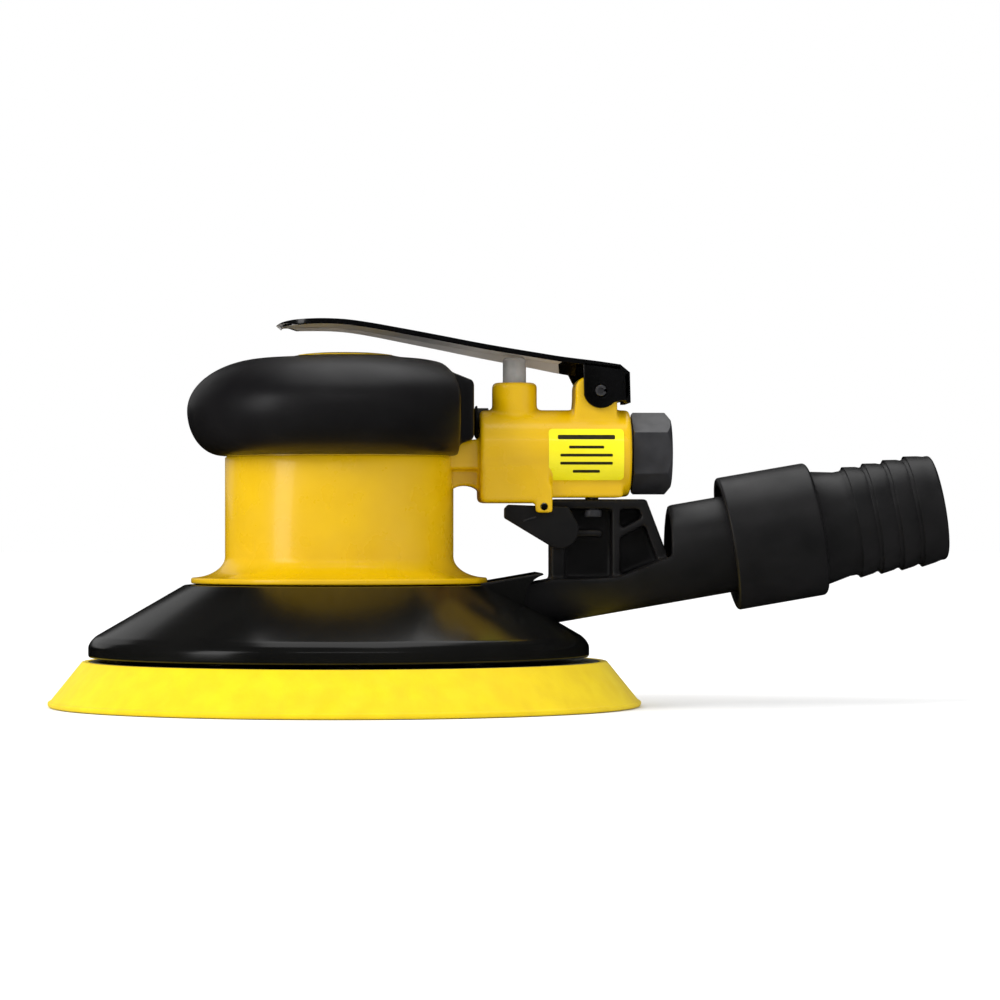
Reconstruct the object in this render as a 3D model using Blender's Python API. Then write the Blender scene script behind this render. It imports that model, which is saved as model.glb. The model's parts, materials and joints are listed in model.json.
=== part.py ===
"""Pneumatic random-orbital sander with a swivelling dust-hose tail.

The frame: the origin is where the motor axis meets the sanded surface, +Z runs up the motor
axis and +X points along the valve body towards the hose tail.  Lengths are in metres.
"""

from math import cos, pi, radians, sin, sqrt

import bmesh
import bpy
from mathutils import Matrix, Vector

MM = 0.001
UP = Vector((0, 0, 1))

# ---- clearances -------------------------------------------------------------------------
FIT = 0.3 * MM  # between faces that touch on the real tool
SLIDE_FIT = 0.2 * MM  # round a vane in its slot and round the valve stem
OVERCUT = 2.0 * MM  # how far a cutting shape runs past the wall it opens
BITE = 0.5 * MM  # how deep two shapes of one casting run into each other

# ---- how finely round shapes are faceted ------------------------------------------------
WIDE = 36
MEDIUM = 24
SMALL = 16
HOLE = 12
TINY = 8

# ---- sanding pad ------------------------------------------------------------------------
PAD_RADIUS = 75.0 * MM
PAD_TOP_RADIUS = 66.3 * MM
PAD_HEIGHT = 11.5 * MM
PAD_LIP = 1.4 * MM
HOOK_RADIUS = 73.2 * MM
HOOK_THICKNESS = 0.9 * MM
PLATE_RADIUS = 64.3 * MM
PLATE_THICKNESS = 2.0 * MM
DUST_HOLES = 6
DUST_HOLE_RADIUS = 5.0 * MM
DUST_CIRCLE_RADIUS = 40.0 * MM
HUB_RADIUS = 10.0 * MM
STUD_RADIUS = 3.9 * MM
STUD_LENGTH = 9.0 * MM
STUD_CHAMFER = 0.6 * MM
PAD_EDGE_BREAK = 0.2 * MM
SPINDLE_FLAT_Y = 9.0 * MM  # from the spindle's axis to each wrench flat
SPINDLE_FLAT_STOP = 0.9 * MM  # left round above the flats

# ---- orbit: the pad's axis stands this far off the motor axis ---------------------------
ORBIT_RADIUS = 2.5 * MM
ORBIT_ANGLE = radians(53.13)

# ---- ball bearings: bore radius, outer radius, width -------------------------------------
SPINDLE_BEARING = (6.0 * MM, 14.0 * MM, 8.0 * MM)
FRONT_BEARING = (5.0 * MM, 13.0 * MM, 8.0 * MM)
REAR_BEARING = (4.0 * MM, 11.0 * MM, 7.0 * MM)
RACE_SHARE = 0.28  # of the radial space, taken by each race
BALLS = 7
BALL_SHARE = 0.45  # radius of a ball, as a share of the gap between the races
CAGE_SHARE = 0.18  # half the cage ring's height, as a share of the bearing's width

# ---- shroud -------------------------------------------------------------------------------
SHROUD_TOP_RADIUS = 39.0 * MM
SHROUD_RADIUS = 63.2 * MM
SHROUD_CONE_RADIUS = 61.3 * MM
SHROUD_CONE_Z = 17.9 * MM
SHROUD_GAP = 1.1 * MM  # open height between the pad and the shroud's rim
SHROUD_RIM_HEIGHT = 2.8 * MM
SHROUD_WALL = 2.0 * MM
SHROUD_HOLE_RADIUS = 24.2 * MM
SHROUD_EDGE_BREAK = 0.6 * MM
SHROUD_SHOULDER = 1.4 * MM

# ---- motor housing ------------------------------------------------------------------------
HOUSING_RADIUS = 28.87 * MM
HOUSING_BORE_RADIUS = 23.3 * MM
HOUSING_BASE_Z = 31.1 * MM
HOUSING_TOP_Z = 83.5 * MM
BORE_TOP_Z = 80.0 * MM
FLANGE_RADIUS = 37.4 * MM
FLANGE_LIP = 1.5 * MM
FLANGE_FILLET = 5.3 * MM
SEAM_Z = 63.3 * MM  # lower edge of the grip
NECK_STEP = 0.4 * MM

# ---- grip ---------------------------------------------------------------------------------
GRIP_RADIUS = 38.45 * MM
GRIP_WAIST_Z = 74.7 * MM
GRIP_UPPER_CENTRE = 17.4 * MM
GRIP_UPPER_RISE = 13.3 * MM
GRIP_SHOULDER = 0.63 * MM  # from the housing out to where the grip starts to curve
GRIP_END_X = 33.6 * MM
GRIP_LOBE_X = 30.0 * MM
GRIP_TAIL_HALF_WIDTH = 13.0 * MM
GRIP_TAIL_Z = 67.4 * MM
GRIP_TAIL_START_X = 21.7 * MM
BADGE_CENTRE_X = 1.5 * MM
BADGE_HALF_LENGTH = 16.5 * MM
BADGE_HALF_WIDTH = 12.5 * MM
BADGE_TOP_Z = 89.5 * MM
BADGE_CROWN_SHARE = 0.45

# ---- vane motor ---------------------------------------------------------------------------
LINER_BORE_RADIUS = 18.5 * MM
LINER_OFFSET = 1.7 * MM
LINER_BOTTOM_Z = 45.3 * MM
LINER_TOP_Z = 70.0 * MM
EXHAUST_PORTS_Z = (50.0 * MM, 57.0 * MM, 64.0 * MM)
EXHAUST_PORT_HALF_HEIGHT = 1.2 * MM
EXHAUST_PORT_HALF_WIDTH = 3.0 * MM
LINER_INLET_SHARE = 0.8  # of the housing's air passage
ROTOR_RADIUS = 16.5 * MM
ROTOR_BORE_RADIUS = 5.0 * MM
VANES = 5
VANE_THICKNESS = 1.4 * MM
VANE_ROOT_RADIUS = 9.3 * MM
END_PLATE = 3.0 * MM
BOSS_WALL = 2.6 * MM  # round each end plate's bearing pocket
RACE_ROOM = 2.0 * MM  # past the inner race, where an end plate clears the shaft
LOCK_NOTCH_HALF_WIDTH = 2.0 * MM
LOCK_NOTCH_DEPTH = 2.6 * MM
DOWEL_RADIUS = 1.0 * MM
KEY_WIDTH = 2.4 * MM
KEY_ROOT_RADIUS = 3.5 * MM
KEY_TOP_RADIUS = 6.3 * MM
KEY_LENGTH = 14.0 * MM
COLLAR_RADIUS = 7.0 * MM

# ---- balancer -----------------------------------------------------------------------------
BALANCER_BOTTOM_Z = 13.2 * MM
BALANCER_TOP_Z = 27.8 * MM
BALANCER_WALL = 3.2 * MM
WEIGHT_RADIUS = 29.5 * MM
WEIGHT_BOTTOM_Z = 14.0 * MM
WEIGHT_TOP_Z = 22.5 * MM
CLIP_THICKNESS = 0.6 * MM
CLIP_DEPTH = 0.9 * MM

# ---- valve body ---------------------------------------------------------------------------
VALVE_Z = 64.0 * MM
VALVE_RADIUS = 11.0 * MM
VALVE_START_X = 35.2 * MM
VALVE_END_X = 73.5 * MM
VALVE_BORE_RADIUS = 5.6 * MM
THREAD_RADIUS = 7.5 * MM
THREAD_LENGTH = 13.0 * MM
CHAMBER_START_X = 40.5 * MM
BLOCK_END_X = 53.0 * MM
BLOCK_BOTTOM_Z = 51.4 * MM
BLOCK_HALF_WIDTH = 10.6 * MM
SADDLE_BOTTOM_Z = 52.8 * MM
SADDLE_HALF_WIDTH = 8.0 * MM
BRIDGE_TOP_Z = 67.4 * MM
BRIDGE_MIDDLE_Z = 59.8 * MM
BRIDGE_BOTTOM_Z = 54.7 * MM
BRIDGE_HALF_WIDTH = 7.5 * MM
AIR_PASSAGE_RADIUS = 3.0 * MM
TAB_SIZE = (4.3 * MM, 2.1 * MM, 4.0 * MM)
TAB_CORNER = (49.1 * MM, -BLOCK_HALF_WIDTH, 48.9 * MM)
STOP_PIN_RADIUS = 0.9 * MM
STOP_PIN_RISE = 1.6 * MM  # of the pin's axis above the tab's lower edge
PLUG_RADIUS = 3.6 * MM
PLUG_HEAD_RADIUS = 4.2 * MM
PLUG_HEAD = 1.2 * MM
PLUG_DEPTH = 2.5 * MM

# ---- valve stem, tilt valve and inlet bushing ---------------------------------------------
STEM_X = 44.35 * MM
BOSS_RADIUS = 5.7 * MM
BOSS_TOP_Z = 81.9 * MM
SLEEVE_RADIUS = 4.2 * MM
SLEEVE_LENGTH = 9.0 * MM
STEM_RADIUS = 2.95 * MM
STEM_TOP_Z = 88.3 * MM
STEM_NOSE_RADIUS = 1.1 * MM
STEM_NOSE = 1.0 * MM
STEM_CHAMFER = 0.8 * MM
STEM_HOLE_RISE = 1.3 * MM  # the stem's narrow hole starts this far above the valve's axis
TILT_ROD_RADIUS = 1.2 * MM
TILT_DISC_RADIUS = 4.2 * MM
TILT_DISC = 1.2 * MM
TILT_DISC_X = 55.6 * MM
SEAT_RADIUS = 5.3 * MM
SEAT_BORE_RADIUS = 3.4 * MM
SEAT_LENGTH = 1.6 * MM
SPRING_RADIUS = 3.4 * MM
SPRING_WIRE_RADIUS = 0.35 * MM
SPRING_TURNS = 3
SPRING_STEPS = 14  # round each turn
HEX_ACROSS_FLATS = 18.0 * MM
HEX_LENGTH = 9.9 * MM
HEX_GAP = 0.5 * MM
INLET_RADIUS = 5.7 * MM
SCREEN_THICKNESS = 1.0 * MM

# ---- throttle lever -----------------------------------------------------------------------
PIVOT_X = 65.7 * MM
PIVOT_Z = 79.7 * MM
PIN_RADIUS = 1.4 * MM
LUG_START_X = 59.4 * MM
LUG_END_X = 70.0 * MM
LUG_HALF_WIDTH = 7.5 * MM
LUG_TOP_RADIUS = 3.6 * MM
LUG_CORNER = 1.5 * MM
SHEET = 1.2 * MM
LEVER_LINE = (
    (-10.0 * MM, 97.5 * MM),
    (2.2 * MM, 97.3 * MM),
    (13.6 * MM, 95.3 * MM),
    (36.4 * MM, 91.3 * MM),
)  # the lever's upper edge, between its tip and its heel
LEVER_TIP_Z = 96.3 * MM
LEVER_HEEL = (2.4 * MM, 86.2 * MM)  # ahead of the lever's rear face, and above the ground
EAR_RADIUS = 4.45 * MM
HANDLE_HALF_WIDTH = 14.0 * MM
HANDLE_EDGE = 2.0 * MM
TIP_X = -15.9 * MM
REAR_X = 73.3 * MM
REAR_BOTTOM_Z = 76.5 * MM

# ---- dust duct and hose tail --------------------------------------------------------------
DUCT_TILT = radians(9.84)
DUCT_START_X = 44.5 * MM
DUCT_START_Z = 31.65 * MM
TUBE_RADIUS = 12.25 * MM
TUBE_WALL = 2.0 * MM
TUBE_END = 76.5 * MM  # measured along the tube from its inner end, as are the next ones
COLLAR_START = 54.7 * MM
COLLAR_END = 77.9 * MM
FIRST_BARB = 87.0 * MM
BARB_PITCH = 5.33 * MM
BARBS = 4
TAIL_END = 109.6 * MM
COLLAR_OUTER_RADIUS = 17.0 * MM
COLLAR_MOUTH_RADIUS = 15.2 * MM
COLLAR_MOUTH_DEPTH = 4.2 * MM
ORING_PLACE = 11.0 * MM  # from the collar's mouth
ORING_WIRE = 0.45 * MM
ORING_GROOVE_WIDTH = 1.6 * MM
CLIP_REACH = 0.8 * MM  # into the tube and the collar
COLLAR_SHOULDER = 1.15 * MM
NECK_TAPER = 6.0 * MM
BARB_BACK = 0.4 * MM
TAIL_CHAMFER = 0.8 * MM
NECK_RADIUS = 13.4 * MM
BARB_RADIUS = 14.3 * MM
TAIL_BORE_RADIUS = 11.0 * MM
DUCT_FLAT_Z = 32.6 * MM  # floor of the pockets beside the bracket
DUCT_ROOF_DROP = 1.0 * MM  # flat roof of the duct in the shroud, below the tube's axis
PASSAGE_HEIGHT = 8.0 * MM
PASSAGE_HALF_WIDTH = 7.6 * MM
PORT_WALL = 1.9 * MM
PORT_END_X = 51.0 * MM
BRACKET_START_X = 53.3 * MM
BRACKET_END_X = 77.4 * MM
BRACKET_TOP_Z = 52.4 * MM
BRACKET_HALF_WIDTH = 6.4 * MM
RIB = 2.0 * MM
RIB_X = 69.7 * MM
WEB = 2.4 * MM
BRACKET_FLANGE = 2.4 * MM
LEFT_WALL = 3.4 * MM
STRUT_FOOT = ((79.0 * MM, 47.0 * MM), (78.4 * MM, 48.8 * MM))
STRUT_ROOT_Z = (42.2 * MM, 44.2 * MM)
SHELF_END_X = 66.1 * MM
SHELF_Z = (43.0 * MM, 44.5 * MM)
SHAFT_BOSS_WALL = 1.6 * MM  # round the regulator's shaft
FACE_STEP = 0.1 * MM  # by which crossing ribs stop short of one another's faces
BRACKET_FOOT_X = 83.4 * MM
BRACKET_FOOT_Z = 38.0 * MM
SCREW_X = 64.0 * MM
SCREW_Y = 3.9 * MM
SCREW_RADIUS = 1.4 * MM
SCREW_HEAD_RADIUS = 2.2 * MM
SCREW_HEAD = 1.8 * MM
SCREW_LENGTH = 4.2 * MM

# ---- speed regulator ----------------------------------------------------------------------
REGULATOR_X = 55.4 * MM
REGULATOR_Z = 44.6 * MM
REGULATOR_HUB_RADIUS = 4.7 * MM
REGULATOR_TIP_X = 41.2 * MM
REGULATOR_TIP_TOP_Z = 51.0 * MM
REGULATOR_TIP_BOTTOM_Z = 47.6 * MM
REGULATOR_PLATE = 1.5 * MM
REGULATOR_SHAFT_RADIUS = 1.9 * MM

# ---- places that follow from the sizes above ----------------------------------------------
ORBIT = Vector((ORBIT_RADIUS * cos(ORBIT_ANGLE), ORBIT_RADIUS * sin(ORBIT_ANGLE), 0))
PLATE_BOTTOM_Z = PAD_HEIGHT - PLATE_THICKNESS
SPINDLE_BOTTOM_Z = PAD_HEIGHT + FIT
CLIP_GROOVE_Z = BALANCER_BOTTOM_Z + 0.7 * MM
CLIP_GROOVE = CLIP_THICKNESS + FIT
SPINDLE_BEARING_Z = CLIP_GROOVE_Z + CLIP_GROOVE + 0.2 * MM
SHROUD_RIM_Z = PAD_HEIGHT + SHROUD_GAP
SHROUD_TOP_Z = HOUSING_BASE_Z - FIT
CONE_SLOPE = (SHROUD_TOP_Z - SHROUD_CONE_Z) / (SHROUD_CONE_RADIUS - SHROUD_TOP_RADIUS)
LINER_RADIUS = HOUSING_BORE_RADIUS - 0.4 * MM
FRONT_PLATE_TOP_Z = LINER_BOTTOM_Z - FIT
FRONT_PLATE_Z = FRONT_PLATE_TOP_Z - END_PLATE
REAR_PLATE_Z = LINER_TOP_Z + FIT
ROTOR_BOTTOM_Z = LINER_BOTTOM_Z + FIT
ROTOR_TOP_Z = LINER_TOP_Z - FIT
FRONT_BEARING_Z = FRONT_PLATE_TOP_Z - 2 * MM - FIT - FRONT_BEARING[2]
REAR_BEARING_Z = REAR_PLATE_Z + END_PLATE / 2 + FIT
DOWEL_PLACE = Vector((0, -(LINER_RADIUS - 2.4 * MM), 0))
BRIDGE_START_X = (HOUSING_BORE_RADIUS + HOUSING_RADIUS) / 2
HEX_START_X = VALVE_END_X + HEX_GAP
BUSHING_START_X = VALVE_END_X - THREAD_LENGTH + FIT
EAR_INNER_Y = LUG_HALF_WIDTH + FIT
EAR_OUTER_Y = EAR_INNER_Y + SHEET
STEM_BOTTOM_Z = VALVE_Z + TILT_ROD_RADIUS + FIT
GRIP_BORE_RADIUS = HOUSING_RADIUS - NECK_STEP + FIT
GRIP_LOWER_CENTRE = HOUSING_RADIUS + GRIP_SHOULDER
GRIP_ROOF_Z = HOUSING_TOP_Z + FIT
PORT_RADIUS = TUBE_RADIUS + FIT + PORT_WALL
DUCT_AXIS = Vector((cos(DUCT_TILT), 0, sin(DUCT_TILT)))


def along_duct(distance, rise=0.0, side=0.0):
    """The place this far along the tube's axis, and this far above and beside it."""
    up = Vector((-sin(DUCT_TILT), 0, cos(DUCT_TILT)))
    start = Vector((DUCT_START_X, 0, DUCT_START_Z))
    return start + DUCT_AXIS * distance + up * rise + Vector((0, side, 0))


def duct_xz(distance, rise):
    """The same place as (x, z), for an outline."""
    place = along_duct(distance, rise)
    return place.x, place.z


# ---- finishes: sRGB colour, roughness, metallic -------------------------------------------
FINISHES = {
    "yellow_enamel": ("E3B505", 0.25, 0.0),
    "yellow_foam": ("F8DC05", 0.6, 0.0),
    "black_rubber": ("2A292B", 0.6, 0.0),
    "black_plastic": ("1E1D1F", 0.35, 0.0),
    "grey_plastic": ("8B8A86", 0.3, 0.0),
    "hook_fabric": ("B9B7A8", 0.95, 0.0),
    "black_enamel": ("0B0B0B", 0.15, 0.2),
    "blackened_steel": ("3A3A3B", 0.4, 0.9),
    "bright_steel": ("B8B8B6", 0.3, 1.0),
    "cast_steel": ("77777A", 0.5, 1.0),
    "phenolic": ("6B4A2C", 0.6, 0.0),
    "brass": ("B8923C", 0.35, 1.0),
    "nitrile": ("151515", 0.7, 0.0),
}


def linear(hex_colour):
    """The linear colour of an sRGB hex value."""
    channels = [int(hex_colour[i : i + 2], 16) / 255 for i in (0, 2, 4)]
    low, high = (lambda c: c / 12.92), (lambda c: ((c + 0.055) / 1.055) ** 2.4)
    return [low(c) if c <= 0.04045 else high(c) for c in channels] + [1.0]


def add_material(obj, finish):
    """Gives a piece its own Principled material."""
    colour, roughness, metallic = FINISHES[finish]
    made = bpy.data.materials.new(obj.name + "_" + finish)
    made.use_nodes = True
    shader = made.node_tree.nodes["Principled BSDF"]
    shader.inputs["Base Color"].default_value = linear(colour)
    shader.inputs["Roughness"].default_value = roughness
    shader.inputs["Metallic"].default_value = metallic
    obj.data.materials.append(made)


# ---- shapes -------------------------------------------------------------------------------
def finish_mesh(name, bm, finish=None, parent=None, at=(0, 0, 0)):
    """Turns a bmesh into an object.  Without a finish it is a tool for a Boolean."""
    bmesh.ops.remove_doubles(bm, verts=bm.verts, dist=1e-7)
    bmesh.ops.recalc_face_normals(bm, faces=bm.faces)
    mesh = bpy.data.meshes.new(name)
    bm.to_mesh(mesh)
    bm.free()
    obj = bpy.data.objects.new(name, mesh)
    bpy.context.collection.objects.link(obj)
    obj.parent = parent
    obj.location = at
    mesh.shade_smooth()
    mesh.set_sharp_from_angle(angle=radians(35))
    if finish:
        add_material(obj, finish)
    else:
        obj.hide_render = True
        obj.display_type = "WIRE"
    return obj


def turned(name, profile, finish=None, steps=MEDIUM, ring=True, parent=None, at=(0, 0, 0)):
    """Spins a profile of (radius, height) points about Z.  A ring's profile closes on itself;
    otherwise it starts and ends on the axis."""
    bm = bmesh.new()
    points = [bm.verts.new((radius, 0, height)) for radius, height in profile]
    edges = [bm.edges.new(pair) for pair in zip(points, points[1:])]
    if ring:
        edges.append(bm.edges.new((points[-1], points[0])))
    bmesh.ops.spin(
        bm, geom=points + edges, cent=(0, 0, 0), axis=(0, 0, 1), angle=2 * pi,
        steps=steps, use_merge=True,
    )
    return finish_mesh(name, bm, finish, parent, at)


def disc(name, radius, bottom, top, finish=None, steps=MEDIUM, parent=None, at=(0, 0, 0)):
    profile = [(0, bottom), (radius, bottom), (radius, top), (0, top)]
    return turned(name, profile, finish, steps, False, parent, at)


def torus(name, major, minor, finish, steps=MEDIUM, around=8, parent=None):
    profile = [
        (major + minor * cos(2 * pi * i / around), minor * sin(2 * pi * i / around))
        for i in range(around)
    ]
    return turned(name, profile, finish, steps, True, parent)


def washer(name, inner, outer, bottom, top, finish=None, steps=MEDIUM, parent=None, at=(0, 0, 0)):
    profile = [(inner, bottom), (outer, bottom), (outer, top), (inner, top)]
    return turned(name, profile, finish, steps, True, parent, at)


def lay_along(obj, direction, start=(0, 0, 0)):
    """Turns a shape made about Z so that its Z runs along a direction from a start point."""
    turn = UP.rotation_difference(Vector(direction)).to_matrix().to_4x4()
    obj.data.transform(Matrix.Translation(Vector(start)) @ turn)
    return obj


def rod(name, radius, start, end, finish=None, steps=SMALL, parent=None):
    """A round bar from one point to another."""
    start, end = Vector(start), Vector(end)
    bar = disc(name, radius, 0, (end - start).length, finish, steps, parent)
    return lay_along(bar, end - start, start)


def block(name, low, high, finish=None, parent=None):
    """A box between two corners."""
    bm = bmesh.new()
    bmesh.ops.create_cube(bm, size=1.0)
    low, high = Vector(low), Vector(high)
    size = Matrix.Diagonal((*(high - low), 1))
    bmesh.ops.transform(bm, matrix=Matrix.Translation((low + high) / 2) @ size, verts=bm.verts)
    return finish_mesh(name, bm, finish, parent)


def plate(name, outline, side_low, side_high, finish=None, parent=None):
    """An outline of (x, z) points, made thick along Y."""
    bm = bmesh.new()
    face = bm.faces.new([bm.verts.new((x, side_low, z)) for x, z in outline])
    grown = bmesh.ops.extrude_face_region(bm, geom=[face])["geom"]
    moved = [item for item in grown if isinstance(item, bmesh.types.BMVert)]
    bmesh.ops.translate(bm, vec=(0, side_high - side_low, 0), verts=moved)
    return finish_mesh(name, bm, finish, parent)


def combine(target, tool, operation, solver="EXACT"):
    step = target.modifiers.new(operation.title() + " " + tool.name, "BOOLEAN")
    step.operation = operation
    step.solver = solver
    step.object = tool
    return target


def cut(target, *tools, solver="EXACT"):
    for tool in tools:
        combine(target, tool, "DIFFERENCE", solver)
    return target


def join(target, *tools):
    for tool in tools:
        combine(target, tool, "UNION")
    return target


def axis_empty(name, place, direction=(0, 0, 1), parent=None):
    """An empty on a joint's axis, with its Z along it."""
    empty = bpy.data.objects.new(name, None)
    empty.empty_display_size = 10 * MM
    empty.location = place
    empty.rotation_euler = UP.rotation_difference(Vector(direction)).to_euler()
    empty.parent = parent
    bpy.context.collection.objects.link(empty)
    return empty


def arc(centre, radii, first, last, count):
    """Points of an ellipse's arc, from one angle to another in degrees."""
    for step in range(count + 1):
        angle = radians(first + (last - first) * step / count)
        yield centre[0] + radii[0] * cos(angle), centre[1] + radii[1] * sin(angle)


# ---- ball bearing -------------------------------------------------------------------------
def ball_bearing(name, size, bottom, parents):
    """Inner race, outer race and the balls in their cage, each under its own parent."""
    bore, outer, width = size
    race = (outer - bore) * RACE_SHARE
    middle = (outer + bore) / 2
    top = bottom + width
    inner_parent, outer_parent, cage_parent = parents
    washer(name + "_inner_race", bore, bore + race, bottom, top, "bright_steel", SMALL, inner_parent)
    washer(name + "_outer_race", outer - race, outer, bottom, top, "bright_steel", SMALL, outer_parent)
    gap = middle - bore - race - FIT
    half = width * CAGE_SHARE
    level = (bottom + top) / 2
    cage = washer(
        name + "_cage", middle - gap * BALL_SHARE, middle + gap * BALL_SHARE, level - half, level + half,
        "brass", SMALL, cage_parent,
    )
    for index in range(BALLS):
        angle = 2 * pi * index / BALLS
        bm = bmesh.new()
        bmesh.ops.create_icosphere(bm, subdivisions=1, radius=gap)
        place = (middle * cos(angle), middle * sin(angle), level)
        bmesh.ops.translate(bm, vec=place, verts=bm.verts)
        join(cage, finish_mesh(f"{name}_ball_{index + 1}", bm, None, cage_parent))
    return cage


# ---- sanding pad --------------------------------------------------------------------------
def dust_hole_cutters(name, radius, parent):
    """The round cutters of the pad's dust holes."""
    for index in range(DUST_HOLES):
        angle = 2 * pi * (index + 0.5) / DUST_HOLES
        place = (DUST_CIRCLE_RADIUS * cos(angle), DUST_CIRCLE_RADIUS * sin(angle), 0)
        yield disc(f"{name}_{index + 1}", radius, -OVERCUT, PAD_HEIGHT + OVERCUT, None, HOLE, parent, place)


def build_pad(axis):
    foam_bottom = HOOK_THICKNESS + FIT
    edge = PAD_LIP / 2
    recess = PLATE_BOTTOM_Z - FIT
    foam = turned(
        "pad_foam",
        [
            (0, foam_bottom),
            (HOOK_RADIUS + FIT, foam_bottom),
            (HOOK_RADIUS + FIT, FIT / 2),
            (PAD_RADIUS - edge / 2, FIT / 2),
            (PAD_RADIUS, edge),
            (PAD_RADIUS, PAD_LIP),
            (PAD_TOP_RADIUS + PAD_EDGE_BREAK, PAD_HEIGHT - PAD_EDGE_BREAK),
            (PAD_TOP_RADIUS - FIT, PAD_HEIGHT),
            (PLATE_RADIUS + FIT, PAD_HEIGHT),
            (PLATE_RADIUS + FIT, recess),
            (0, recess),
        ],
        "yellow_foam", WIDE, False, axis,
    )
    cut(foam, *dust_hole_cutters("foam_dust_hole", DUST_HOLE_RADIUS, axis))
    hook = disc("pad_hook_face", HOOK_RADIUS, 0, HOOK_THICKNESS, "hook_fabric", WIDE, axis)
    cut(hook, *dust_hole_cutters("hook_dust_hole", DUST_HOLE_RADIUS, axis))
    backplate = washer(
        "pad_backplate", HUB_RADIUS + FIT, PLATE_RADIUS, PLATE_BOTTOM_Z, PAD_HEIGHT,
        "black_plastic", WIDE, axis,
    )
    cut(backplate, *dust_hole_cutters("plate_dust_hole", DUST_HOLE_RADIUS, axis))
    turned(
        "pad_hub",
        [
            (0, PLATE_BOTTOM_Z), (HUB_RADIUS, PLATE_BOTTOM_Z), (HUB_RADIUS, PAD_HEIGHT),
            (STUD_RADIUS, PAD_HEIGHT), (STUD_RADIUS, PAD_HEIGHT + STUD_LENGTH - STUD_CHAMFER),
            (STUD_RADIUS - STUD_CHAMFER, PAD_HEIGHT + STUD_LENGTH), (0, PAD_HEIGHT + STUD_LENGTH),
        ],
        "bright_steel", SMALL, False, axis,
    )


def build_spindle(axis):
    bore = STUD_RADIUS + FIT
    journal = SPINDLE_BEARING[0] - FIT
    flange = SPINDLE_BEARING[1] - CLIP_DEPTH - 2 * MM
    flange_top = SPINDLE_BEARING_Z - FIT
    bore_top = PAD_HEIGHT + STUD_LENGTH + FIT
    spindle_top = SPINDLE_BEARING_Z + SPINDLE_BEARING[2]
    spindle = turned(
        "pad_spindle",
        [
            (0, bore_top), (bore, bore_top), (bore, SPINDLE_BOTTOM_Z), (flange, SPINDLE_BOTTOM_Z),
            (flange, flange_top - 0.8 * MM), (journal + 1.2 * MM, flange_top),
            (journal, flange_top), (journal, spindle_top), (0, spindle_top),
        ],
        "bright_steel", SMALL, False, axis,
    )
    reach = HUB_RADIUS * 2
    for side in (-1, 1):
        flat = block(
            f"spindle_flat_{side + 2}",
            (-reach, min(side * SPINDLE_FLAT_Y, side * reach), SPINDLE_BOTTOM_Z - OVERCUT),
            (reach, max(side * SPINDLE_FLAT_Y, side * reach), flange_top - SPINDLE_FLAT_STOP),
            None, axis,
        )
        cut(spindle, flat)


# ---- balancer and vane motor --------------------------------------------------------------
def clip_ring(name, inner, outer, bottom, top, finish, parent=None, at=(0, 0, 0), mouth=5 * MM):
    """A retaining ring with its gap on the +X side."""
    ring = washer(name, inner, outer, bottom, top, finish, SMALL, parent, at)
    low = (0, -mouth / 2, bottom - OVERCUT)
    gap = block(name + "_gap", low, (outer * 2, mouth / 2, top + OVERCUT), None, parent)
    gap.location = at
    return cut(ring, gap)


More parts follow.
